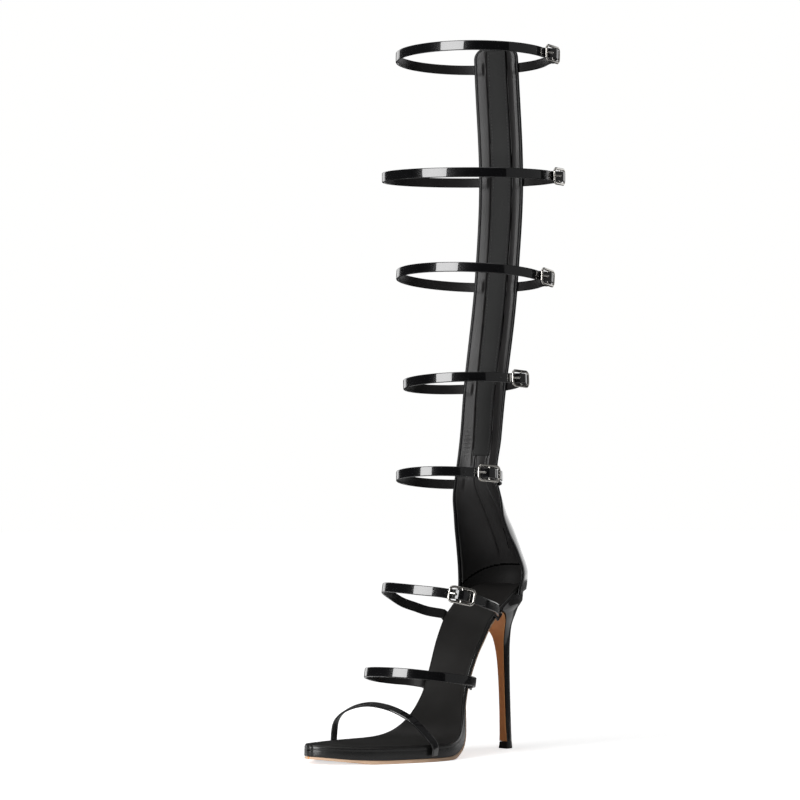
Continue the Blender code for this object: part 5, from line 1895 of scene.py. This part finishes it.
def pull_outline(grow):
    """Long drop-shaped tab that hangs from the slider's arch."""
    half = ((0.0, 1.6), (-1.2, 2.5), (-3.5, 2.8), (-7.0, 2.75), (-14.0, 2.35), (-20.0, 2.5), (-26.0, 3.0),
            (-29.5, 3.3), (-31.6, 2.8), (-32.6, 1.8), (-PULL_LONG, 0.6))
    right = [(max(a + grow, 0.3), b - (grow if b < -30.0 else 0.0)) for b, a in half]
    return right + [(-a, b) for a, b in reversed(right)]


def make_zip_pull():
    """Tab with a pressed edge and a wire eye round the arch."""
    pivot, side, up, outward = pull_place()
    bm = bmesh.new()
    front = [(-1.1, 0.34), (-0.95, 0.34), (-0.8, 0.5), (-0.35, 0.62), (-0.1, 0.45)]
    back = [(grow, -height) for grow, height in reversed(front)]
    rings = []
    for grow, height in front + [(0.0, 0.0)] + back:
        rings.append([pivot + side * a + up * (b - PULL_EYE * 0.9 * (1.0 + b / PULL_LONG)) + outward * height
                      for a, b in pull_outline(grow)])
    add_skin(bm, rings)
    eye = []
    for k in range(EYE_SIDES):
        angle = 2 * math.pi * k / EYE_SIDES
        eye.append(pivot + side * (2.1 * math.cos(angle)) + up * (-2.3 + 2.95 * math.sin(angle)))
    add_wire(bm, eye, [EYE_WIRE] * EYE_SIDES, [EYE_WIRE] * EYE_SIDES, outward, closed=True)
    made = finish_mesh(bm, "zip_pull_tab", (BLACK_METAL,), PULL_BODY, sharp=45.0)
    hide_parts("zip_pull")


make_zip_slider()
make_zip_pull()
print("slider stands at", round(SLIDER_Z), "mm")

# %% [markdown]
# ## Stitches
# Thread shows beside the zip, along the guard and across the strap ends at the back. A stitch is a short
# bit of thread that dives into the leather at both ends, so each one is a small bent spindle. How they
# lean varies a little, from one seeded source.
# %% Sew the stitches
stitch_random = random.Random(11)
STITCH_PITCH = 2.5
STITCH_RADIUS = 0.2
STITCH_SIDES = 6
TINY = 1e-9
# The seam across a strap end: its place in steps from the end, and half its length.
END_SEAM_STEP = 8
END_SEAM_HALF = 2.5
ZIP_SEAM_X = 5.4
GUARD_SEAM_X = 6.6
# Along a stitch: part of its length, share of its radius and height over the leather.
STITCH_ROWS = ((0.0, 0.35, -0.16), (0.14, 0.9, 0.03), (0.38, 1.0, 0.13), (0.62, 1.0, 0.13), (0.86, 0.9, 0.03),
               (1.0, 0.35, -0.16))


def add_stitch(bm, start, end, outward):
    """One stitch between two points, arched out of the surface."""
    along = (end - start).normalized()
    side = along.cross(outward).normalized()
    lean = side * stitch_random.uniform(-0.05, 0.05)
    rings = []
    for part, size, lift in STITCH_ROWS:
        centre = start.lerp(end, part) + outward * lift + lean * math.sin(math.pi * part)
        radius = STITCH_RADIUS * size
        rings.append([centre + side * (radius * math.cos(math.pi * k / 3.0))
                      + outward * (radius * math.sin(math.pi * k / 3.0)) for k in range(STITCH_SIDES)])
    add_skin(bm, rings)


def sew(name, rows):
    """Rows of stitches; each row is a list of (point, outward) along a seam."""
    bm = bmesh.new()
    total = 0
    for row in rows:
        lengths = path_lengths([point for point, _ in row])
        count = max(int(lengths[-1] / STITCH_PITCH), 1)
        for i in range(count):
            ends = []
            for part in (0.12, 0.88):
                wanted = lengths[-1] * (i + part) / count
                k = max(j for j, length in enumerate(lengths) if length <= wanted + TINY)
                k = min(k, len(row) - 2)
                amount = (wanted - lengths[k]) / max(lengths[k + 1] - lengths[k], TINY)
                ends.append((row[k][0].lerp(row[k + 1][0], amount), row[k][1]))
            add_stitch(bm, ends[0][0], ends[1][0], ends[0][1])
            total += 1
    finish_mesh(bm, name, (THREAD,), sharp=80.0)
    return total


def wall_row(x, low, high, offset, outward_sign):
    """Seam up the wall at a distance from its middle."""
    row = []
    for z in spread(low, high, 130):
        half = wall_half(z)
        point = wall_at_height(x / half, z, offset)
        further = wall_at_height(x / half, z, offset + outward_sign)
        row.append((point, (further - point).normalized()))
    return row


zip_rows = [wall_row(x, 210.0, 528.0, WALL + 0.02, 1.0) for x in (-ZIP_SEAM_X, ZIP_SEAM_X)]
guard_rows = [wall_row(x, GUARD_LOW + 1.4, 529.0, -0.6, -1.0) for x in (-GUARD_SEAM_X, GUARD_SEAM_X)]
strap_rows = []
for frames in [ends[loop.name] for ends in (long_frames, short_frames) for loop in LOOPS]:
    end = resample(frames, FINE_STEP)[END_SEAM_STEP][1]
    strap_rows.append([(end.point + end.across * a + end.outward * STRAP_THICK, end.outward)
                       for a in spread(-END_SEAM_HALF, END_SEAM_HALF, 6)])
counts = [sew(name + "_stitches", rows)
          for name, rows in (("zip", zip_rows), ("guard", guard_rows), ("strap", strap_rows))]
print("stitches:", *counts)

# %% [markdown]
# ## Last step
# The scene is brought up to date.
# %% Update the scene
bpy.context.view_layer.update()
